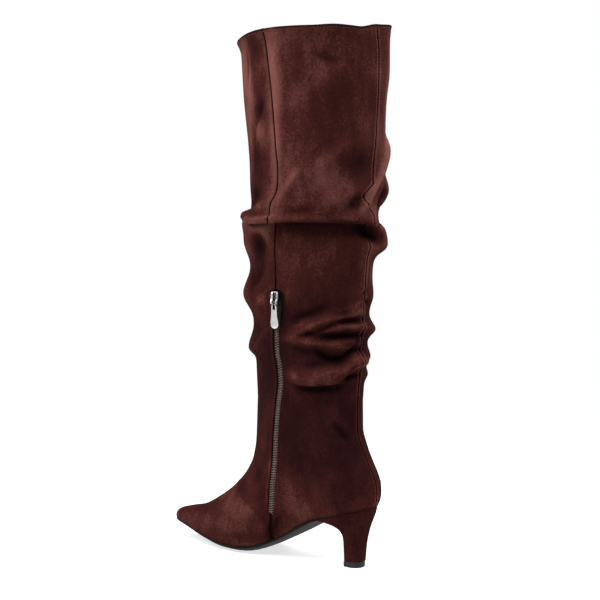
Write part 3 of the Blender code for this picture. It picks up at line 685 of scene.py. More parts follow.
def vamp_line(grid, angles):
    """Signed distance to the seam that crosses the instep, positive on the leg's side of it.

    The seam runs from the front of the instep down both sides to the sole. Its ring is a smooth function
    of the angle, and the distance is taken to a fine row of points along it.
    """
    lowest = VAMP["angle"][-1]
    turned = np.abs(turn_from(np.degrees(angles), 0.0))
    ring = (np.arange(len(grid))[:, None] / FOOT_RINGS) ** FOOT_CROWD
    line = np.radians(np.linspace(0, lowest, 120))
    rings = smooth(VAMP, "angle", "ring", np.degrees(line))
    path = np.concatenate([foot_point(rings, line)[::-1], foot_point(rings, -line)])
    distance = np.full(grid.shape[:2], VAMP_FAR)
    distance[:FOOT_RINGS] = np.linalg.norm(grid[:FOOT_RINGS, :, None] - path, axis=-1).min(-1)
    beyond = ring > smooth(VAMP, "angle", "ring", np.minimum(turned, lowest))
    return np.where(beyond | (turned > lowest), distance, -distance)


# Meshes


def grid_faces(rows, columns):
    """Quads of a grid of points numbered row by row, closed round its columns."""
    row = np.arange(rows - 1)[:, None]
    column = np.arange(columns)[None, :]
    after = (column + 1) % columns
    return np.stack([row * columns + column, row * columns + after,
                     (row + 1) * columns + after, (row + 1) * columns + column], -1)


def add_piece(name, points, faces, finish, body="boot", replaces=(), marks=None, sharp=180.0):
    """One object at the origin from points in millimetres, with its finish, its body and per-point marks."""
    mesh = bpy.data.meshes.new(name)
    mesh.from_pydata((np.asarray(points) * MM).tolist(), [], faces)
    mesh.update()
    mesh.shade_smooth()
    if sharp < 180.0:
        mesh.set_sharp_from_angle(angle=np.radians(sharp))
    for mark, values in (marks or {}).items():
        layer = mesh.attributes.new(mark, "FLOAT", "POINT")
        layer.data.foreach_set("value", np.ravel(values).astype(np.float32))
    mesh.materials.append(finish)
    piece = bpy.data.objects.new(name, mesh)
    bpy.context.scene.collection.objects.link(piece)
    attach(piece, body)
    if replaces:
        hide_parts(*replaces)


def loft(rings):
    """Points and faces of a closed stack of closed rings, each end closed by a fan to its middle."""
    rows, columns = rings.shape[:2]
    points = np.concatenate([rings.reshape(-1, 3), rings[:1].mean(1), rings[-1:].mean(1)])
    side = np.arange(columns)
    after = (side + 1) % columns
    last = (rows - 1) * columns
    start = np.stack([after, side, np.full(columns, rows * columns)], -1)
    end = np.stack([last + side, last + after, np.full(columns, rows * columns + 1)], -1)
    return points, grid_faces(rows, columns).reshape(-1, 4).tolist() + start.tolist() + end.tolist()


def turned_out(points, faces):
    """Faces of a closed piece, turned round if the volume inside them comes out negative."""
    volume = 0.0
    for count in {len(face) for face in faces}:
        corners = points[np.array([face for face in faces if len(face) == count])]
        for k in range(1, count - 1):
            volume += np.sum(corners[:, 0] * np.cross(corners[:, k], corners[:, k + 1]))
    return faces if volume > 0 else [face[::-1] for face in faces]


def copies(template, template_faces, places, across, along, outward):
    """The same small shape put at many places, each with its own three directions."""
    points = (places[:, None] + template[None, :, :1] * across[:, None]
              + template[None, :, 1:2] * along[:, None] + template[None, :, 2:] * outward[:, None])
    shift = np.arange(len(places))[:, None, None] * len(template)
    faces = (template_faces[None] + shift).reshape(-1, template_faces.shape[1])
    return points.reshape(-1, 3), faces.tolist()


def joined(parts):
    """Points and faces of several pieces as one piece."""
    points, faces, count = [], [], 0
    for more, lists in parts:
        faces += [[index + count for index in face] for face in lists]
        points.append(more)
        count += len(more)
    return np.concatenate(points), faces


# Finishes


class Value:
    """A number that varies over a surface: a socket whose arithmetic adds Math nodes."""

    def __init__(self, finish, socket):
        self.finish = finish
        self.socket = socket

    def math(self, operation, *others):
        """Result of a Math node on this value and others."""
        sockets = dict(enumerate((self, *others)))
        return self.finish.node("ShaderNodeMath", {"operation": operation}, sockets)

    def __add__(self, other):
        return self.math("ADD", other)

    __radd__ = __add__

    def __sub__(self, other):
        return self.math("SUBTRACT", other)

    def __rsub__(self, other):
        return self.math("MULTIPLY_ADD", -1.0, other)

    def __mul__(self, other):
        return self.math("MULTIPLY", other)

    __rmul__ = __mul__

    def __abs__(self):
        return self.math("ABSOLUTE")

    def step(self, start, end, kind="SMOOTHSTEP"):
        """0 up to start, 1 from end, a smooth step between."""
        sockets = {"Value": self, "From Min": start, "From Max": end}
        return self.finish.node("ShaderNodeMapRange", {"interpolation_type": kind}, sockets)

    def ramp(self, start, end):
        """0 up to start, 1 from end, a straight line between."""
        return self.step(start, end, "LINEAR")


class Finish:
    """A material: one Principled shader with its constants, and the nodes that vary over the surface."""

    def __init__(self, name, constants):
        self.material = bpy.data.materials.new(name)
        self.material.use_nodes = True
        self.nodes = self.material.node_tree.nodes
        self.links = self.material.node_tree.links
        self.shader = self.nodes["Principled BSDF"]
        self.place = self.node("ShaderNodeTexCoord", output="Object")
        self.set(self.shader, constants)

    def set(self, node, sockets):
        """Link varying values to a node's sockets and write the others into them."""
        for key, value in sockets.items():
            if isinstance(value, Value):
                self.links.new(value.socket, node.inputs[key])
            else:
                node.inputs[key].default_value = value

    def node(self, kind, settings=None, sockets=None, output=0):
        """One of the outputs of a new node of any kind."""
        made = self.nodes.new(kind)
        for key, value in (settings or {}).items():
            setattr(made, key, value)
        self.set(made, sockets or {})
        return Value(self, made.outputs[output])

    def noise(self, size, detail=2.0, stretch=(1.0, 1.0, 1.0)):
        """Soft random pattern with features of a size in millimetres, 0 to 1."""
        place = self.node("ShaderNodeMapping", sockets={"Vector": self.place, "Scale": stretch})
        return self.node("ShaderNodeTexNoise", sockets={
            "Vector": place, "Scale": 1 / (size * MM), "Detail": detail})

    def mark(self, name):
        """A per-point value of the piece."""
        return self.node("ShaderNodeAttribute", {"attribute_name": name}, output="Fac")

    def mix(self, factor, first, second):
        """Colour between two, by a factor."""
        return self.node("ShaderNodeMix", {"data_type": "RGBA"}, {0: factor, 6: first, 7: second}, output=2)

    def bump(self, height, depth, strength):
        """Normal raised by a height from 0 to 1 over a depth in millimetres."""
        sockets = {"Height": height, "Distance": depth * MM, "Strength": strength}
        return self.node("ShaderNodeBump", sockets=sockets)


def rgb(red, green, blue):
    """Linear colour with full alpha."""
    return (red, green, blue, 1.0)


# Suede colours: the black is painted shadow in deep creases and pockets, the palest also carries painted
# highlights
SUEDE_SHADOW_BLACK = rgb(0.0030, 0.0008, 0.0010)
SUEDE_DARK = rgb(0.018, 0.0048, 0.0051)
SUEDE_MIDDLE = rgb(0.042, 0.0108, 0.0090)
SUEDE_PALE_AND_HIGHLIGHT = rgb(0.150, 0.0560, 0.0470)
SUEDE_SHEEN = rgb(0.70, 0.36, 0.30)
SEAM_BLACK = rgb(0.004, 0.0015, 0.0015)
SEAM_WIDTHS = {"inner_seam": 1.5, "back_seam": 1.1, "outer_seam": 1.1, "vamp_seam": 1.0}
SEAM_DARKNESS = {"inner_seam": 1.0, "back_seam": 0.9, "outer_seam": 0.9, "vamp_seam": 0.15}
RUBBER_BLACK = rgb(0.0045, 0.0042, 0.0042)
RUBBER_DUSTY = rgb(0.011, 0.0104, 0.0102)
UNDER_BLACK = rgb(0.024, 0.023, 0.023)
UNDER_DUSTY = rgb(0.036, 0.034, 0.034)
SOCK_DARK = rgb(0.060, 0.036, 0.028)
SOCK_LIGHT = rgb(0.095, 0.060, 0.047)
LINING_DARK = rgb(0.040, 0.020, 0.015)
LINING_LIGHT = rgb(0.066, 0.036, 0.028)
THREAD_DARK = rgb(0.070, 0.030, 0.026)
THREAD_LIGHT = rgb(0.130, 0.064, 0.055)
# tape colours darkened almost to black as painted shade in the zip's opening
TAPE_SHADED_DARK = rgb(0.004, 0.0022, 0.0020)
TAPE_SHADED_LIGHT = rgb(0.011, 0.0056, 0.0050)
COIL_BROWN = rgb(0.108, 0.066, 0.056)
COIL_WORN = rgb(0.162, 0.104, 0.089)
# painted shade on the coil
COIL_SHADE_BLACK = rgb(0.008, 0.004, 0.0036)
NICKEL = rgb(0.50, 0.47, 0.475)
NICKEL_LIGHT = rgb(0.60, 0.575, 0.58)
# painted shade on the slider and pull
METAL_SHADE_BLACK = rgb(0.008, 0.006, 0.006)
FLOOR_GREY = rgb(0.45, 0.45, 0.45)
WHITE = rgb(1.0, 1.0, 1.0)


def suede(name, seams=(), shade=0.0):
    """Napped suede: brushed patches, a fine speckle and a fuzzy sheen, with dark seams where marked; the skin
    also gets its per-point painted highlights and painted shade, and shade darkens a whole piece as painted
    shade.
    """
    finish = Finish(name, {"Roughness": 0.95, "Specular IOR Level": 0.008, "Sheen Weight": 0.012,
                           "Sheen Roughness": 0.45, "Sheen Tint": SUEDE_SHEEN})
    patches = finish.noise(34.0, 3.0, (1.0, 1.0, 0.7))
    strokes = finish.noise(9.0, 3.0, (1.0, 1.0, 0.45))
    speckle = finish.noise(1.1)
    fibre = finish.noise(0.45, 1.0)
    mottle = finish.noise(2.6)
    lightness = (patches - 0.5) * 0.85 + (strokes - 0.5) * 0.45
    lightness = lightness + (mottle - 0.5) * 0.4 + (speckle - 0.5) * 0.6
    lightness = lightness + (0.5 + shade)
    if seams:
        # add the skin's per-point tone, painted highlights and painted shade
        lightness = lightness + finish.mark("tone_and_painted_light")
    colour = finish.mix(lightness.ramp(-0.6, 0.15), SUEDE_SHADOW_BLACK, SUEDE_DARK)
    colour = finish.mix(lightness.ramp(0.1, 0.55), colour, SUEDE_MIDDLE)
    colour = finish.mix(lightness.ramp(0.5, 1.25), colour, SUEDE_PALE_AND_HIGHLIGHT)
    height = speckle * 0.5 + fibre * 0.3 + strokes * 0.6
    for mark in seams:
        closed = 1 - abs(finish.mark(mark)).step(0.35, SEAM_WIDTHS[mark])
        colour = finish.mix(closed * SEAM_DARKNESS[mark], colour, SEAM_BLACK)
        height = height - closed * 1.6
    finish.set(finish.shader, {"Base Color": colour, "Normal": finish.bump(height, 0.5, 0.7)})
    return finish.material


def rubber(name, shine, under=None):
    """Black rubber: a satin face with a fine pebble and faint dusty marks, greyer where marked as under."""
    finish = Finish(name, {"Specular IOR Level": shine})
    pebble = finish.noise(0.9)
    dust = finish.noise(14.0, 4.0)
    worn = dust.step(0.52, 0.75)
    colour = finish.mix(worn * 0.6, RUBBER_BLACK, RUBBER_DUSTY)
    if under:
        base = finish.mix(worn, UNDER_BLACK, UNDER_DUSTY)
        colour = finish.mix(finish.mark(under), colour, base)
    finish.set(finish.shader, {
        "Base Color": colour, "Roughness": worn * 0.15 + 0.6, "Normal": finish.bump(pebble, 0.12, 0.5)})
    return finish.material


def cloth(name, dark, light, pitch, fuzz_weight=0.1):
    """Woven cloth: threads over and under at a pitch in millimetres, with a soft fuzz."""
    finish = Finish(name, {"Roughness": 0.9, "Specular IOR Level": 0.05, "Sheen Weight": fuzz_weight})
    parts = finish.node("ShaderNodeSeparateXYZ", sockets={0: finish.place})
    x, y, z = (Value(finish, socket) for socket in parts.socket.node.outputs)
    turns = 2 * np.pi / (pitch * MM)
    weave = ((x + y) * turns).math("SINE") * (z * turns).math("SINE") * 0.5 + 0.5
    fuzz = finish.noise(0.6)
    patches = finish.noise(22.0, 3.0)
    shade = weave * 0.45 + fuzz * 0.35 + patches * 0.35
    finish.set(finish.shader, {"Base Color": finish.mix(shade.step(0.25, 0.85), dark, light),
                               "Normal": finish.bump(weave * 0.7 + fuzz * 0.3, 0.25, 0.7)})
    return finish.material


def coil(name):
    """Satin brown plastic with slight wear in patches, made dark as painted shade where marked as deep."""
    finish = Finish(name, {"Roughness": 0.5, "Specular IOR Level": 0.12})
    wear = finish.noise(5.0, 3.0)
    grain = finish.noise(0.5, 1.0)
    colour = finish.mix(wear.step(0.35, 0.7), COIL_BROWN, COIL_WORN)
    finish.set(finish.shader, {
        "Base Color": finish.mix(finish.mark("deep"), colour, COIL_SHADE_BLACK),
        "Normal": finish.bump(grain, 0.04, 0.5)})
    return finish.material


def metal(name):
    """Satin nickel: fine brushed lines and faint smudges, painted black and not metallic where marked with
    painted shade.
    """
    finish = Finish(name, {"Specular IOR Level": 0.5})
    lines = finish.noise(0.35, 2.0, (1.0, 1.0, 0.08))
    smudge = finish.noise(5.0, 3.0)
    colour = finish.mix(smudge.step(0.35, 0.7), NICKEL, NICKEL_LIGHT)
    shaded = finish.mark("metal_shade")
    finish.set(finish.shader, {
        "Base Color": finish.mix(shaded, colour, METAL_SHADE_BLACK), "Metallic": 1 - shaded,
        "Roughness": smudge * 0.14 + lines * 0.1 + 0.2, "Normal": finish.bump(lines, 0.02, 0.4)})
    return finish.material


# Pieces


def skin_marks(grid, angles, crest):
    """Distance to each seam, and the lightness added at every point of the skin: the suede's own patches of
    tone together with painted highlights and painted shade.
    """
    heights = grid[..., 2]
    columns = (SEAM_COLUMN, BACK_COLUMN, OUTER_COLUMN)
    marks = {seam: arc_from(grid, column) for seam, column in zip(SEAM_MARKS, columns)}
    marks["vamp_seam"] = vamp_line(grid, angles)
    # crests painted lighter as wear and painted highlight, hollows painted darker as painted shade
    tone_and_painted_light = CREST_HIGHLIGHT_AND_HOLLOW_SHADE * np.clip(crest, *CREST_LIMITS) + patch_tone_and_light(angles, heights)
    tone_and_painted_light -= HEEL_SHADE * heel_shadow(angles)
    # painted highlight along the zip's rolled edge
    tone_and_painted_light += ZIP_EDGE_HIGHLIGHT * zip_edge(marks["inner_seam"], heights)
    # painted highlights on the strips beside the back and outer seams, which are also rubbed
    for seam in ("back_seam", "outer_seam"):
        tone_and_painted_light += SEAM_SIDE_WEAR_AND_HIGHLIGHT * bell(np.abs(marks[seam]) - SEAM_SIDE_HIGHLIGHT_AWAY, SEAM_SIDE_HIGHLIGHT_WIDTH)
    vamp = marks["vamp_seam"]
    tone_and_painted_light -= VAMP_SHADE * ease(vamp, *VAMP_SHADE_START) * (1 - ease(vamp, *VAMP_SHADE_END))
    tone_and_painted_light -= RIM_SHADE * (1 - ease(rim_height(angles) - heights, *RIM_SHADE_DEPTH))
    marks["tone_and_painted_light"] = tone_and_painted_light
    return marks


def wall_faces(rows, inner_rows, columns, first, last):
    """Faces of the wall: outer and inner face, the rims at the sole and the collar, and the slit's edges.

    The inner face has a ring for every INNER_STEP rings of the outer one, so each face along a side of the
    slit has INNER_STEP + 1 points on the outer face and two on the inner one.
    """
    shift = rows * columns
    lists = []
    outer = grid_faces(rows, columns)
    inner = grid_faces(inner_rows, columns)[:, :, ::-1] + shift
    for faces, step in ((outer, 1), (inner, INNER_STEP)):
        keep = np.ones(faces.shape[:2], bool)
        keep[first // step:last // step, SLIT_FRONT:SLIT_BACK] = False
        lists += faces[keep].tolist()
    side = np.arange(columns)
    after = (side + 1) % columns
    lists += np.stack([side, side + shift, after + shift, after], -1).tolist()
    top = (rows - 1) * columns
    inner_top = shift + (inner_rows - 1) * columns
    lists += np.stack([top + after, inner_top + after, inner_top + side, top + side], -1).tolist()
    fine = np.arange(first, last, INNER_STEP)
    coarse = fine // INNER_STEP
    for edge, flip in ((SLIT_FRONT, 1), (SLIT_BACK, -1)):
        run = (fine[:, None] + np.arange(INNER_STEP + 1)) * columns + edge
        inside = shift + np.stack([coarse + 1, coarse], -1) * columns + edge
        lists += np.concatenate([run, inside], 1)[:, ::-flip].tolist()
    slit = np.arange(SLIT_FRONT, SLIT_BACK + 1)
    for end, flip in ((first, 1), (last, -1)):
        run = end * columns + slit
        inside = shift + end // INNER_STEP * columns + slit
        lists += np.stack([run[:-1], run[1:], inside[1:], inside[:-1]], -1)[:, ::flip].tolist()
    return lists


def make_skin():
    """Upper's wall: fine outer face, rolled rim, coarser inner face, and the zip's slit left open."""
    grid, angles, crest = skin_grid()
    heights = grid[..., 2]
    marks = skin_marks(grid, angles, crest)
    relief = seam_relief(marks, heights, rim_height(angles))
    below_zip = 1 - ease(heights, SLIT_BOTTOM - 5, SLIT_BOTTOM + 3)
    marks["inner_seam"] = marks["inner_seam"] / (1 + FOOT_SEAM_WIDER * below_zip)
    grid = grid + normals_of(grid) * relief[..., None]
    normals = normals_of(grid)
    normals[-1, :, 2] = 0
    normals[-1] = unit(normals[-1])
    turn = np.radians(ROLL_TURNS)[:, None, None]
    roll = grid[-1] + WALL / 2 * ((np.cos(turn) - 1) * normals[-1] + np.sin(turn) * UP)
    outer = np.concatenate([grid, roll])
    picks = np.unique(np.concatenate([np.arange(0, len(grid), INNER_STEP), [len(grid) - 1]]))
    upright = normals.copy()
    upright[FOOT_RINGS:, :, 2] *= INNER_UPRIGHT
    inner = (grid - WALL * unit(upright))[picks]
    seam_heights = grid[::INNER_STEP, SEAM_COLUMN, 2]
    first, last = (INNER_STEP * int(np.argmin(np.abs(seam_heights - end))) for end in (SLIT_BOTTOM, SLIT_TOP))
    full = {name: np.concatenate([values, np.repeat(values[-1:], len(roll), 0), values[picks]])
            for name, values in marks.items()}
    points = np.concatenate([outer.reshape(-1, 3), inner.reshape(-1, 3)])
    faces = wall_faces(len(outer), len(inner), outer.shape[1], first, last)
    finish = suede("suede", SEAM_MARKS)
    add_piece("upper_suede", points, faces, finish, replaces=("upper",), marks=full)
    return grid, normals, first, last


grid, normals, slit_first, slit_last = make_skin()

# Sole, heel and insole

SOLE_EDGE = 0.2
SOLE_BEVEL = 1.0
INSOLE_THICK = 2.0
INSOLE_INSET = 2.8
BREAST_AHEAD = 51.0
LIFT_THICK = 5.6
BREAST_SAG = 3.6
BREAST_HOLLOW = 1.5
LIFT_FORWARD = 0.6
SOLE_BULGE = 0.3
TREAD_PITCH = 6.0
TREAD_DEPTH = 0.5
TREAD_START = (108.0, 116.0)
TREAD_END = (216.0, 224.0)
TOP_COLUMNS = 9
BOTTOM_COLUMNS = 33
UNDER_COLUMNS = slice(14, 43)
SEAT_COLUMNS = 25
BREAST_COLUMNS = 12
TOE = FEATHER["ahead"][-1]

HEEL = table(
    "drop   back_ahead  breast_ahead  half_width",
    (0.00,  0.6,        51.0,         25.8),
    (0.03,  0.8,        46.4,         25.0),
    (0.07,  1.2,        39.0,         22.8),
    (0.14,  2.2,        32.4,         20.0),
    (0.24,  4.0,        28.4,         17.0),
    (0.40,  7.0,        26.6,         14.4),
    (0.70,  10.0,       27.2,         11.6),
    (1.00,  11.0,       28.0,         9.6))

SOLE = table(
    "ahead   bottom  edge  flat",
    (51.0,   41.6,   0.9,  0.0),
    (62.0,   34.8,   1.5,  0.0),
    (77.0,   26.4,   1.8,  0.0),
    (106.0,  11.8,   2.0,  0.1),
    (118.0,  6.2,    2.3,  0.25),
    (130.0,  2.0,    2.6,  0.42),
    (140.0,  0.3,    2.8,  0.52),
    (150.0,  0.0,    2.8,  0.55),
    (166.0,  0.0,    2.6,  0.55),
    (191.0,  3.2,    2.2,  0.4),
    (221.0,  10.0,   1.5,  0.2),
    (244.0,  16.6,   1.2,  0.0))

LIFT = table(
    "height  size",
    (5.6,    0.97),
    (5.1,    0.99),
    (0.7,    0.99),
    (0.2,    0.97),
    (0.0,    0.92))


def sole_ring(ahead, grow, top, bottom, rise, flat, bevel, bulge, tread):
    """Closed cross-sections of a sole layer at stations along the foot.

    Each runs over the top from the inner to the outer side, down a side that bulges a little, back under the
    bottom, whose edges roll up and whose middle is ribbed across, and up the inner side.
    """
    ahead = np.asarray(ahead, float)[:, None]
    middle = TOE / 2
    like = middle + (ahead - middle) * middle / (middle + grow)
    inner = np.maximum(feather_width(like, 1) + grow, 0.6)
    outer = np.maximum(feather_width(like, -1) + grow, 0.6)
    over, under = np.linspace(1, -1, TOP_COLUMNS), np.linspace(-1, 1, BOTTOM_COLUMNS)
    fall = np.array([0.2, 0.5, 0.8])
    across = np.concatenate([over, [-1, -1, -1], under, [1, 1, 1]])
    down = np.concatenate([np.zeros(TOP_COLUMNS), fall, np.ones(BOTTOM_COLUMNS), fall[::-1]])
    half = np.where(across > 0, inner, outer)
    inset = bevel * down ** 3 - bulge * np.sin(np.pi * down)
    half = np.maximum(half - inset, 0.3)
    flat = flat[:, None]
    roll = np.clip((np.abs(across) - flat) / (1 - flat), 0, 1) ** 1.6
    groove = np.clip(np.cos(2 * np.pi * ahead / TREAD_PITCH) - 0.2, 0, 1)
    groove = groove * ease(ahead, *TREAD_START) * (1 - ease(ahead, *TREAD_END))
    groove = groove * ease(0.86 - np.abs(across), 0.0, 0.06)
    base = bottom[:, None] + rise[:, None] * roll + tread * groove
    height = top[:, None] + (base - top[:, None]) * down
    swing = TOE_SWING * (np.clip(ahead, 0, None) / TOE) ** 2
    return np.stack([swing + across * half, HEEL_BACK_Y - ahead + 0 * across, height], -1)


def rounded_end(start, end, steps):
    """Stations from start to end that crowd towards the end."""
    return end - (end - start) * (1 - np.linspace(0, 1, steps)) ** 2


def make_outsole():
    """Thin black sole from the heel breast to the toe, with fine ribs under the ball of the foot."""
    ahead = np.concatenate([np.linspace(BREAST_AHEAD + GAP, 105, 30), np.linspace(106, 228, 123),
                            rounded_end(229, TOE + SOLE_EDGE, 26)])
    top = feather_height(ahead) - GAP
    bottom = smooth(SOLE, "ahead", "bottom", ahead)
    rise = top - bottom - smooth(SOLE, "ahead", "edge", ahead)
    flat = smooth(SOLE, "ahead", "flat", ahead)
    rings = sole_ring(ahead, SOLE_EDGE, top, bottom, rise, flat, SOLE_BEVEL, SOLE_BULGE, TREAD_DEPTH)
    points, faces = loft(rings)
    under = np.zeros(rings.shape[:2])
    under[:, UNDER_COLUMNS] = 1.0
    under = np.concatenate([under.ravel(), [0.0, 0.0]])
    finish = rubber("sole rubber", 0.06, "under")
    add_piece("sole", points, faces, finish, replaces=("outsole",),
              marks={"under": under}, sharp=50.0)


def make_insole():
    """Covered board inside the foot, with an even thickness."""
    back = INSOLE_INSET + 30 * np.linspace(0, 1, 20) ** 2
    ahead = np.concatenate([back, np.linspace(34, 228, 60), rounded_end(230, TOE - INSOLE_INSET, 20)])
    base = feather_height(ahead) + GAP
    even = np.zeros_like(base)
    rings = sole_ring(ahead, -INSOLE_INSET, base + INSOLE_THICK, base, even, even, 0.0, 0.0, 0.0)
    points, faces = loft(rings)
    finish = cloth("sock cloth", SOCK_DARK, SOCK_LIGHT, 0.7)
    add_piece("sock", points, faces, finish, replaces=("insole",), sharp=50.0)


def heel_outline(drop):
    """Closed outline of the heel at shares of the way down: round the back, then across the breast.

    The seat's outline at the sole edge shrinks to the table's back, breast and half width. The breast is
    hollowed in its middle, and sags a little at the very top.
    """
    drop = np.asarray(drop, float)[:, None]
    start = np.arccos(2 * BREAST_AHEAD / TOE - 1)
    seat_angles = start + (np.pi - start) * np.linspace(0, 1, SEAT_COLUMNS)
    seat_ahead = TOE * (1 + np.cos(seat_angles)) / 2
    seat_ahead = np.concatenate([seat_ahead, seat_ahead[-2::-1]])
    side = np.concatenate([np.ones(SEAT_COLUMNS), -np.ones(SEAT_COLUMNS - 1)])
    width = side * feather_width(seat_ahead, side)
    across = np.linspace(width[-1], width[0], BREAST_COLUMNS + 2)[1:-1]
    hollow = np.concatenate([np.zeros(len(side)), 1 - (across / width[0]) ** 2])
    seat_ahead = np.concatenate([seat_ahead, np.full(BREAST_COLUMNS, BREAST_AHEAD)])
    width = np.concatenate([width, across])
    back = smooth(HEEL, "drop", "back_ahead", drop)
    breast = smooth(HEEL, "drop", "breast_ahead", drop)
    half_width = smooth(HEEL, "drop", "half_width", drop)
    ahead = back + (breast - back) * seat_ahead / BREAST_AHEAD - BREAST_HOLLOW * hollow * ease(drop, 0.1, 0.3)
    top = feather_height(seat_ahead) - GAP
    height = top + (LIFT_THICK + GAP - top) * drop - BREAST_SAG * hollow * (1 - ease(drop, 0.0, 0.14))
    return np.stack([width * half_width / HEEL["half_width"][0], HEEL_BACK_Y - ahead, height], -1)


def make_heel():
    """Slim suede-covered heel with a hollowed back and breast, and the black lift under it."""
    points, faces = loft(heel_outline(np.linspace(0, 1, 56)))
    # the heel's suede is made darker overall as painted shade
    finish = suede("heel suede shaded", shade=-0.30)
    add_piece("heel_cover", points, faces, finish, replaces=("heel",), sharp=50.0)
    outline = heel_outline([1.0]) - [0.0, LIFT_FORWARD, 0.0]
    middle = outline.mean(1, keepdims=True)
    rings = middle + (outline - middle) * LIFT["size"][:, None, None]
    rings[..., 2] = LIFT["height"][:, None]
    points, faces = loft(rings)
    finish = rubber("lift rubber", 0.30)
    add_piece("lift", points, faces, finish, replaces=("top_lift",), sharp=40.0)


# Lining, stitches and zip

LINING_TOP = 22.0
LINING_OUT = 3.4
LINING_WAVE = 2.4
LINING_THICK = 0.4
STITCH = 2.0
STITCH_PITCH = 3.0
STITCH_RADIUS = 0.34
STITCH_FLATNESS = 0.8
STITCH_LIFT = 0.1
FACING_STITCH = 18.0
FACING_GAP = 0.2
BACK_STITCH_COLUMNS = 3
BACK_STITCH_RING = 4
LIP_UNDER = 316.0
LIP_EDGE = 347.0
COIL_PITCH = 2.5
COIL_TOP_HEIGHT = 262.0
COIL_HALF_WIDTH = 3.0
COIL_OVERLAP = 0.35
COIL_LEVEL = -0.75
# The coil is painted darker as shade towards the slider
COIL_SHADE_DARKNESS = 0.80
COIL_SHADE_START = 226.0
COIL_SHADE_END = 234.0
COIL_BAR_WIDTHS = np.array([0.30, 0.46, 0.40, 0.40, 0.44, 0.26])
CORD_TOP = -0.3
CORD_BOTTOM = -0.7
TAPE_OUT = 2.3
TAPE_THICK = 0.8
TAPE_COLUMNS = 8
TAPE_RINGS = 8
HINGE = np.array([53.749, 39.693, 256.752])
ZIP_ACROSS = np.array([0.080502, 0.996754, 0.000632])
ZIP_OUTWARD = np.array([0.9959, -0.0804, -0.0420])
ZIP_ALONG = np.cross(ZIP_OUTWARD, ZIP_ACROSS)
PULL_LIFT = 3.6
PULL_ALONG = -3.6
CHEEK_INSIDE = 2.0
CHEEK_LOW = 1.0

# Pull tab and its slot, from the hinge down
PULL = table(
    "below  half_width",
    (-1.6,  0.0),
    (-1.3,  1.2),
    (-0.6,  1.75),
    (1.2,   1.85),
    (2.4,   1.9),
    (3.5,   3.0),
    (5.0,   3.3),
    (8.0,   3.3),
    (14.0,  3.7),
    (19.0,  4.6),
    (21.5,  4.65),
    (23.6,  3.8),
    (24.7,  2.1),
    (25.2,  0.0))

SLOT = table(
    "below  half_width",
    (-0.8,  0.0),
    (-0.5,  0.75),
    (0.4,   1.0),
    (2.5,   1.4),
    (6.2,   1.65),
    (7.2,   0.95),
    (7.6,   0.0))

# Pull tab from the slot's edge to its rim: share of the way and half thickness
PULL_FACE = table(
    "way    thick",
    (0.0,   0.55),
    (0.06,  0.72),
    (0.2,   0.8),
    (0.45,  0.84),
    (0.7,   0.82),
    (0.88,  0.74),
    (0.96,  0.6),
    (1.0,   0.34))

# Slider's body, cheeks and pin
SLIDER_BODY = table(
    "along  half_width  low   top",
    (-6.1,  2.4,        0.5,  1.2),
    (-5.9,  2.9,        0.5,  1.5),
    (-5.0,  3.2,        0.5,  1.7),
    (-2.0,  3.5,        0.5,  1.7),
    (1.0,   3.9,        0.5,  1.7),
    (3.4,   4.2,        0.5,  1.7),
    (5.2,   4.0,        0.5,  1.7),
    (6.1,   3.3,        0.5,  1.7),
    (6.5,   2.4,        0.5,  1.5),
    (6.6,   1.4,        0.5,  1.2))

PIN = table(
    "across  radius",
    (-2.7,   0.36),
    (-2.6,   0.6),
    (2.6,    0.6),
    (2.7,    0.36))

CHEEK = table(
    "along  outside  top",
    (-5.9,  3.0,     2.0),
    (-5.4,  3.6,     4.2),
    (-4.4,  4.0,     5.0),
    (-3.0,  4.1,     5.1),
    (-1.6,  4.2,     4.4),
    (0.0,   4.3,     3.6),
    (3.0,   4.4,     3.4),
    (5.2,   4.1,     3.1),
    (6.3,   3.3,     2.2))


def shell(outside, inside):
    """Closed thin shell between two like grids that are closed round their columns."""
    rows, columns = outside.shape[:2]
    shift = rows * columns
    faces = grid_faces(rows, columns)
    side = np.arange(columns)
    after = (side + 1) % columns
    top = (rows - 1) * columns
    lists = [faces.reshape(-1, 4), faces[:, :, ::-1].reshape(-1, 4) + shift,
             np.stack([side, side + shift, after + shift, after], -1),
             np.stack([top + after, top + after + shift, top + side + shift, top + side], -1)]
    return np.concatenate([outside.reshape(-1, 3), inside.reshape(-1, 3)]), np.concatenate(lists).tolist()


def make_lining():
    """Cloth lining of the leg and foot, up to the suede facing at the collar.

    It hangs inside the smooth leg, clear of the hollows of the folds, and its fullness is a sum of three
    sines round the leg and up it.
    """
    ring = (np.linspace(0.08, 0.98, 34) ** FOOT_CROWD)[:, None]
    turn = np.linspace(0, 2 * np.pi, 120, endpoint=False)[None]
    level = np.linspace(160.0, RING_STRETCHES["end"][-1] - LINING_TOP, 90)[:, None]
    leg = np.concatenate([foot_point(ring, turn), leg_point(level, turn)])
    height = leg[..., 2]
    sunk = np.minimum(fold_shift(turn + 0 * height, height)[0], 0.0)
    outward = normals_of(leg)
    wave = np.sin(4 * turn + height / 40.0) + 0.8 * np.sin(9 * turn - height / 55.0)
    wave = wave + 0.4 * np.sin(2 * turn + height / 14.0)
    fullness = LINING_WAVE * (1 + wave / 2.2) * ease(height, 90.0, 160.0) * (1 - ease(height, 440.0, 485.0))
    outside = leg + outward * (sunk - LINING_OUT - fullness)[..., None]
    points, faces = shell(outside, outside - outward * LINING_THICK)
    add_piece("lining", points, faces, cloth("lining cloth", LINING_DARK, LINING_LIGHT, 0.9, 0.01))


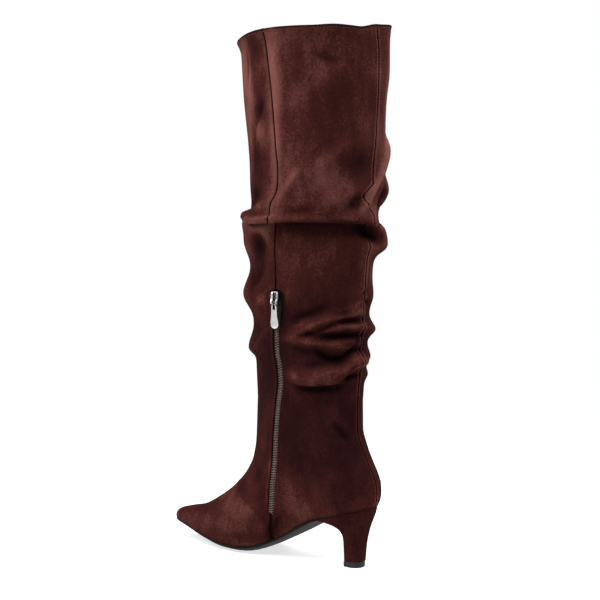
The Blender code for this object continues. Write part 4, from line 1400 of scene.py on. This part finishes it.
def bar(lengths, widths, thick):
    """Small six-sided bar along its first axis, with half widths at lengths, as points and quads."""
    turn = np.radians(np.arange(0, 360, 60))
    rings = np.stack([lengths[:, None] + 0 * turn, widths[:, None] * np.cos(turn),
                      widths[:, None] * thick * np.sin(turn)], -1)
    faces = grid_faces(len(lengths), 6).reshape(-1, 4)
    halves = np.array([[0, 1, 2, 3], [3, 4, 5, 0]])
    ends = np.concatenate([halves[:, ::-1], halves + (len(lengths) - 1) * 6])
    return rings.reshape(-1, 3), np.concatenate([faces, ends])


def even_places(path, pitch, *others):
    """Points at an even pitch along a path, with other values of the path carried along."""
    step = np.linalg.norm(np.diff(path, axis=0), axis=-1)
    run = np.concatenate([[0], np.cumsum(step)])
    at = np.arange(pitch / 2, run[-1], pitch)
    return [np.stack([np.interp(at, run, part[:, k]) for k in range(3)], -1) for part in (path, *others)]


def row_stitches(path, outward, lift):
    """Thread stitches along a path on the skin, lifted out of it a little or sunk into it."""
    places, outward = even_places(path, STITCH_PITCH, outward)
    along = unit(np.gradient(places, axis=0))
    across = unit(np.cross(along, outward))
    outward = np.cross(across, along)
    share = np.linspace(-1, 1, 6)
    widths = STITCH_RADIUS * np.sqrt(np.maximum(1.05 - share ** 2, 0.05))
    template, faces = bar(share * STITCH / 2, widths, STITCH_FLATNESS)
    return copies(template, faces, places + outward * lift, along, across, outward)


def make_stitches():
    """Lines of stitches under the rim, inside along the facing and on both sides of the back seam."""
    below = grid[-1, BACK_COLUMN, 2] - grid[:, BACK_COLUMN, 2]
    row, facing = (int(np.argmin(np.abs(below - depth))) for depth in (STITCH_BELOW_RIM, FACING_STITCH))
    inside = grid[facing] - (WALL + FACING_GAP) * normals[facing]
    runs = []
    for ring, outward in ((grid[row], normals[row]), (inside, -normals[facing])):
        runs.append((np.concatenate([ring, ring[:1]]), np.concatenate([outward, outward[:1]]), STITCH_LIFT))
    level = leg_levels()
    stretches = ((level[BACK_STITCH_RING], LIP_UNDER), (LIP_EDGE, level[row - FOOT_RINGS]))
    for column in (BACK_COLUMN - BACK_STITCH_COLUMNS, BACK_COLUMN + BACK_STITCH_COLUMNS):
        for start, end in stretches:
            rows = FOOT_RINGS + np.flatnonzero((level >= start) & (level < end))
            runs.append((grid[rows, column], normals[rows, column], -STITCH_LIFT))
    points, faces = joined([row_stitches(*run) for run in runs])
    add_piece("stitches", points, faces, cloth("thread", THREAD_DARK, THREAD_LIGHT, 0.6, 0.0))


def zip_path():
    """Middle line of the slit with its across, along and outward directions."""
    rows = np.arange(slit_first, slit_last + 1)
    front, back = grid[rows, SLIT_FRONT], grid[rows, SLIT_BACK]
    across = unit(back - front)
    along = unit(np.gradient((front + back) / 2, axis=0))
    across = unit(across - along * np.sum(across * along, -1, keepdims=True))
    return (front + back) / 2, across, along, np.cross(across, along)


def make_zip_coil():
    """Closed coil: two rows of small bars that lie between each other over a flat cord."""
    middle, across, along, outward = zip_path()
    low = middle[:, 2] < COIL_TOP_HEIGHT
    directions = (across[low], along[low], outward[low])
    places, across, along, outward = even_places(middle[low], COIL_PITCH, *directions)
    places = places + outward * COIL_LEVEL
    share = np.linspace(0, 1, len(COIL_BAR_WIDTHS))
    template, faces = bar(share * (COIL_HALF_WIDTH + COIL_OVERLAP) - COIL_OVERLAP, COIL_BAR_WIDTHS, 1.0)
    mirrored = template * np.array([-1.0, 1.0, 1.0])
    between = places + along * COIL_PITCH / 2
    bars = [copies(template, faces, places, across, along, outward),
            copies(mirrored, faces[:, ::-1], between, across, along, outward)]
    corners = ((-1, CORD_TOP), (1, CORD_TOP), (1, CORD_BOTTOM), (-1, CORD_BOTTOM))
    rings = [places + across * side * COIL_HALF_WIDTH + outward * depth for side, depth in corners]
    cord = loft(np.stack(rings, 1))
    points, lists = joined(bars + [cord])
    # painted shade: the coil darkens towards the slider, where the pull's shadow falls, and the cord under
    # the bars is black
    deep = COIL_SHADE_DARKNESS * ease(points[:, 2], COIL_SHADE_START, COIL_SHADE_END)
    deep[-len(cord[0]):] = 1.0
    add_piece("zip_coil", points, lists, coil("coil"), replaces=("zip_chain",),
              marks={"deep": deep}, sharp=60.0)


def make_zip_tape():
    """Woven tape behind the slit, from every second ring of the skin."""
    rows = np.arange(slit_first - TAPE_RINGS, slit_last + TAPE_RINGS + 1)[::2]
    columns = np.arange(SLIT_FRONT - TAPE_COLUMNS, SLIT_BACK + TAPE_COLUMNS + 1)
    skin, outward = (part[np.ix_(rows, columns)] for part in (grid, normals))
    face = skin - TAPE_OUT * outward
    back = skin - (TAPE_OUT + TAPE_THICK) * outward
    points, faces = loft(np.concatenate([face, back[:, ::-1]], 1))
    # the tape's cloth is darkened almost to black as painted shade in the zip's opening
    finish = cloth("tape cloth", TAPE_SHADED_DARK, TAPE_SHADED_LIGHT, 0.8, 0.0)
    add_piece("zip_tape_cloth", points, faces, finish, replaces=("zip_tape",), sharp=60.0)


def rounded_block(lengths, half_widths, low, high, sides=20):
    """Rounded block along the zip: at each length a squarish loop between two levels.

    The loop is a superellipse of the fourth power: the root of the cosine across, of the sine outwards.
    """
    turn = np.linspace(0, 2 * np.pi, sides, endpoint=False)
    across = np.sign(np.cos(turn)) * np.sqrt(np.abs(np.cos(turn)))
    rise = np.sign(np.sin(turn)) * np.sqrt(np.abs(np.sin(turn)))
    lengths, half_widths, low, high = (part[:, None] for part in (lengths, half_widths, low, high))
    return lengths + 0 * turn, half_widths * across, (low + high) / 2 + (high - low) / 2 * rise


def place_on_slider(along, across, outward):
    """Points from lengths along, across and out of the zip at the slider."""
    middle = HINGE - ZIP_ALONG * PULL_ALONG - ZIP_OUTWARD * PULL_LIFT
    return (middle + along[..., None] * ZIP_ALONG + across[..., None] * ZIP_ACROSS
            + outward[..., None] * ZIP_OUTWARD)


def make_zip_slider():
    """Slider: a rounded body with a channel painted dark as shade, two cheeks that hold the pull, and the pin
    between them.
    """
    parts = [rounded_block(*SLIDER_BODY.values())]
    along = np.concatenate([[-6.0], np.linspace(-5.8, 6.2, 24), [6.4]])
    outside = smooth(CHEEK, "along", "outside", along)
    top = smooth(CHEEK, "along", "top", along)
    half = (outside - CHEEK_INSIDE) / 2
    half[[0, -1]] *= 0.5
    middle = (outside + CHEEK_INSIDE)[:, None] / 2
    length, across, lift = rounded_block(along, half, np.full_like(along, CHEEK_LOW), top, 16)
    parts += [(length, across + side * middle, lift) for side in (-1, 1)]
    turn = np.linspace(0, 2 * np.pi, 14, endpoint=False)
    radius = PIN["radius"][:, None]
    reach = PIN["across"][:, None] + 0 * turn
    parts.append((PULL_ALONG + radius * np.cos(turn), reach, PULL_LIFT - radius * np.sin(turn)))
    lofts = [loft(place_on_slider(*part)) for part in parts]
    points, faces = joined([(more, turned_out(more, lists)) for more, lists in lofts])
    along, across, lift = ((points - HINGE) @ np.stack([ZIP_ALONG, ZIP_ACROSS, ZIP_OUTWARD], 1)).T
    top = smooth(CHEEK, "along", "top", along + PULL_ALONG) - PULL_LIFT
    # painted shade: black more than about a millimetre below the cheeks' tops, half dark on the tops towards
    # the back
    metal_shade = 1 - ease(lift - top, -1.1, -0.5) * (1 - 0.5 * ease(across, 0.5, 1.5))
    add_piece("slider", points, faces, metal("slider metal"), replaces=("zip_slider",),
              marks={"metal_shade": metal_shade}, sharp=45.0)


def tab_outline(rows):
    """Loop round the tab or its slot: lengths below the hinge and half widths, crowded towards both ends."""
    share = (1 - np.cos(np.linspace(0, np.pi, 33))) / 2
    below = rows["below"][0] + (rows["below"][-1] - rows["below"][0]) * share
    half = smooth(rows, "below", "half_width", below)
    return np.concatenate([below, below[-2:0:-1]]), np.concatenate([half, -half[-2:0:-1]])


def make_zip_pull():
    """Teardrop pull with a slot between two arms.

    Loops run from the slot's edge over the front face to the rim and back over the other face.
    """
    slot_below, slot_half = tab_outline(SLOT)
    rim_below, rim_half = tab_outline(PULL)
    way = np.concatenate([PULL_FACE["way"], PULL_FACE["way"][::-1]])[:, None]
    level = np.concatenate([PULL_FACE["thick"], -PULL_FACE["thick"][::-1]])[:, None]
    below = slot_below + (rim_below - slot_below) * way
    across = slot_half + (rim_half - slot_half) * way
    points = (HINGE - below[..., None] * ZIP_ALONG + across[..., None] * ZIP_ACROSS
              + (level + 0 * below)[..., None] * ZIP_OUTWARD)
    rows, columns = points.shape[:2]
    side = np.arange(columns)
    after = (side + 1) % columns
    last = (rows - 1) * columns
    seam = np.stack([last + side, last + after, after, side], -1)
    faces = np.concatenate([grid_faces(rows, columns).reshape(-1, 4), seam]).tolist()
    points = points.reshape(-1, 3)
    # the pull is painted dark round its eye as painted shade under the slider
    add_piece("pull_tab", points, turned_out(points, faces), metal("pull metal"),
              body="zip_pull", replaces=("zip_pull",), marks={"metal_shade": 1 - ease(below, 0.4, 2.2)}, sharp=50.0)


make_outsole()
make_insole()
make_heel()
make_lining()
make_stitches()
make_zip_coil()
make_zip_tape()
make_zip_slider()
make_zip_pull()


# Studio: camera, floor and lights

CAMERA_AZIMUTH = np.radians(124.75)
CAMERA_PITCH = np.radians(1.96)
CAMERA_AWAY = 1118.0
CAMERA_SIDE = 26.8
CAMERA_HEIGHT = 295.0
FOCAL = 1101.5
IMAGE = 600.0
SENSOR = 36.0
LIGHT_SIZE = 900.0
LIGHT_AIM = 250.0
FLOOR_MIDDLE = 20.0
FLOOR_FADE = 495.0
FLOOR_REACH = 1100.0
FLOOR_RINGS = 24
FLOOR_COLUMNS = 64
FLOOR_GLOW = 0.71
SURROUND_LIGHT = 0.12
TOWARDS = np.array([np.sin(CAMERA_AZIMUTH), -np.cos(CAMERA_AZIMUTH), 0.0])
RIGHT = np.array([np.cos(CAMERA_AZIMUTH), np.sin(CAMERA_AZIMUTH), 0.0])


def make_camera():
    """Camera at the photograph's angle, a little above the boot's middle and tilted slightly down."""
    lens = bpy.data.cameras.new("camera")
    lens.sensor_width = SENSOR
    lens.lens = FOCAL / IMAGE * SENSOR
    eye = bpy.data.objects.new("camera", lens)
    place = TOWARDS * CAMERA_AWAY + RIGHT * CAMERA_SIDE + UP * CAMERA_HEIGHT
    eye.location = place * MM
    look = -TOWARDS * np.cos(CAMERA_PITCH) - UP * np.sin(CAMERA_PITCH)
    eye.rotation_euler = Vector(look).to_track_quat("-Z", "Y").to_euler()
    bpy.context.scene.collection.objects.link(eye)
    bpy.context.scene.camera = eye


def make_light(name, towards, right, up, power):
    """Square soft light at a place given from the camera's side, aimed at the boot's middle."""
    lamp = bpy.data.lights.new(name, "AREA")
    lamp.size = LIGHT_SIZE * MM
    lamp.energy = power
    place = TOWARDS * towards + RIGHT * right + UP * up
    thing = bpy.data.objects.new(name, lamp)
    thing.location = place * MM
    thing.rotation_euler = Vector(UP * LIGHT_AIM - place).to_track_quat("-Z", "Y").to_euler()
    bpy.context.scene.collection.objects.link(thing)


def make_floor():
    """Pale floor under the boot: a fine disc that fades out at its edge into the white surround."""
    turn = np.linspace(0, 2 * np.pi, FLOOR_COLUMNS, endpoint=False)
    radius = MM * np.linspace(FLOOR_MIDDLE, FLOOR_REACH, FLOOR_RINGS)[:, None]
    rings = np.stack([radius * np.cos(turn), radius * np.sin(turn), 0 * radius * turn], -1)
    points = np.concatenate([rings.reshape(-1, 3), [[0.0, 0.0, 0.0]]])
    side = np.arange(FLOOR_COLUMNS)
    middle = np.stack([np.full_like(side, len(points) - 1), (side + 1) % FLOOR_COLUMNS, side], -1)
    faces = grid_faces(FLOOR_RINGS, FLOOR_COLUMNS)[..., ::-1].reshape(-1, 4).tolist() + middle.tolist()
    mesh = bpy.data.meshes.new("floor")
    mesh.from_pydata(points.tolist(), [], faces)
    finish = Finish("floor", {"Base Color": FLOOR_GREY, "Roughness": 0.9, "Specular IOR Level": 0.1,
                              "Emission Color": WHITE, "Emission Strength": FLOOR_GLOW})
    away = finish.node("ShaderNodeVectorMath", {"operation": "LENGTH"}, {0: finish.place}, output="Value")
    finish.set(finish.shader, {"Alpha": 1 - away.step(FLOOR_FADE * MM, FLOOR_REACH * MM)})
    mesh.materials.append(finish.material)
    floor = bpy.data.objects.new("floor", mesh)
    bpy.context.scene.collection.objects.link(floor)


def make_surround():
    """White surround, seen as white and lighting the boot more softly."""
    world = bpy.data.worlds.new("surround")
    world.use_nodes = True
    nodes = world.node_tree.nodes
    rays = nodes.new("ShaderNodeLightPath")
    seen = nodes.new("ShaderNodeMath")
    seen.operation = "MAXIMUM"
    level = nodes.new("ShaderNodeMapRange")
    level.inputs["To Min"].default_value = SURROUND_LIGHT
    level.inputs["To Max"].default_value = 1.0
    world.node_tree.links.new(rays.outputs["Is Camera Ray"], seen.inputs[0])
    world.node_tree.links.new(rays.outputs["Is Glossy Ray"], seen.inputs[1])
    world.node_tree.links.new(seen.outputs[0], level.inputs["Value"])
    world.node_tree.links.new(level.outputs["Result"], nodes["Background"].inputs["Strength"])
    nodes["Background"].inputs["Color"].default_value = WHITE
    bpy.context.scene.world = world
    bpy.context.scene.view_settings.view_transform = "Standard"


make_floor()
make_surround()
make_light("left light", 250.0, -850.0, 1200.0, 24.0)
make_light("right light", -100.0, 850.0, 1200.0, 20.0)
make_light("top light", 600.0, 0.0, 1500.0, 22.0)
make_camera()
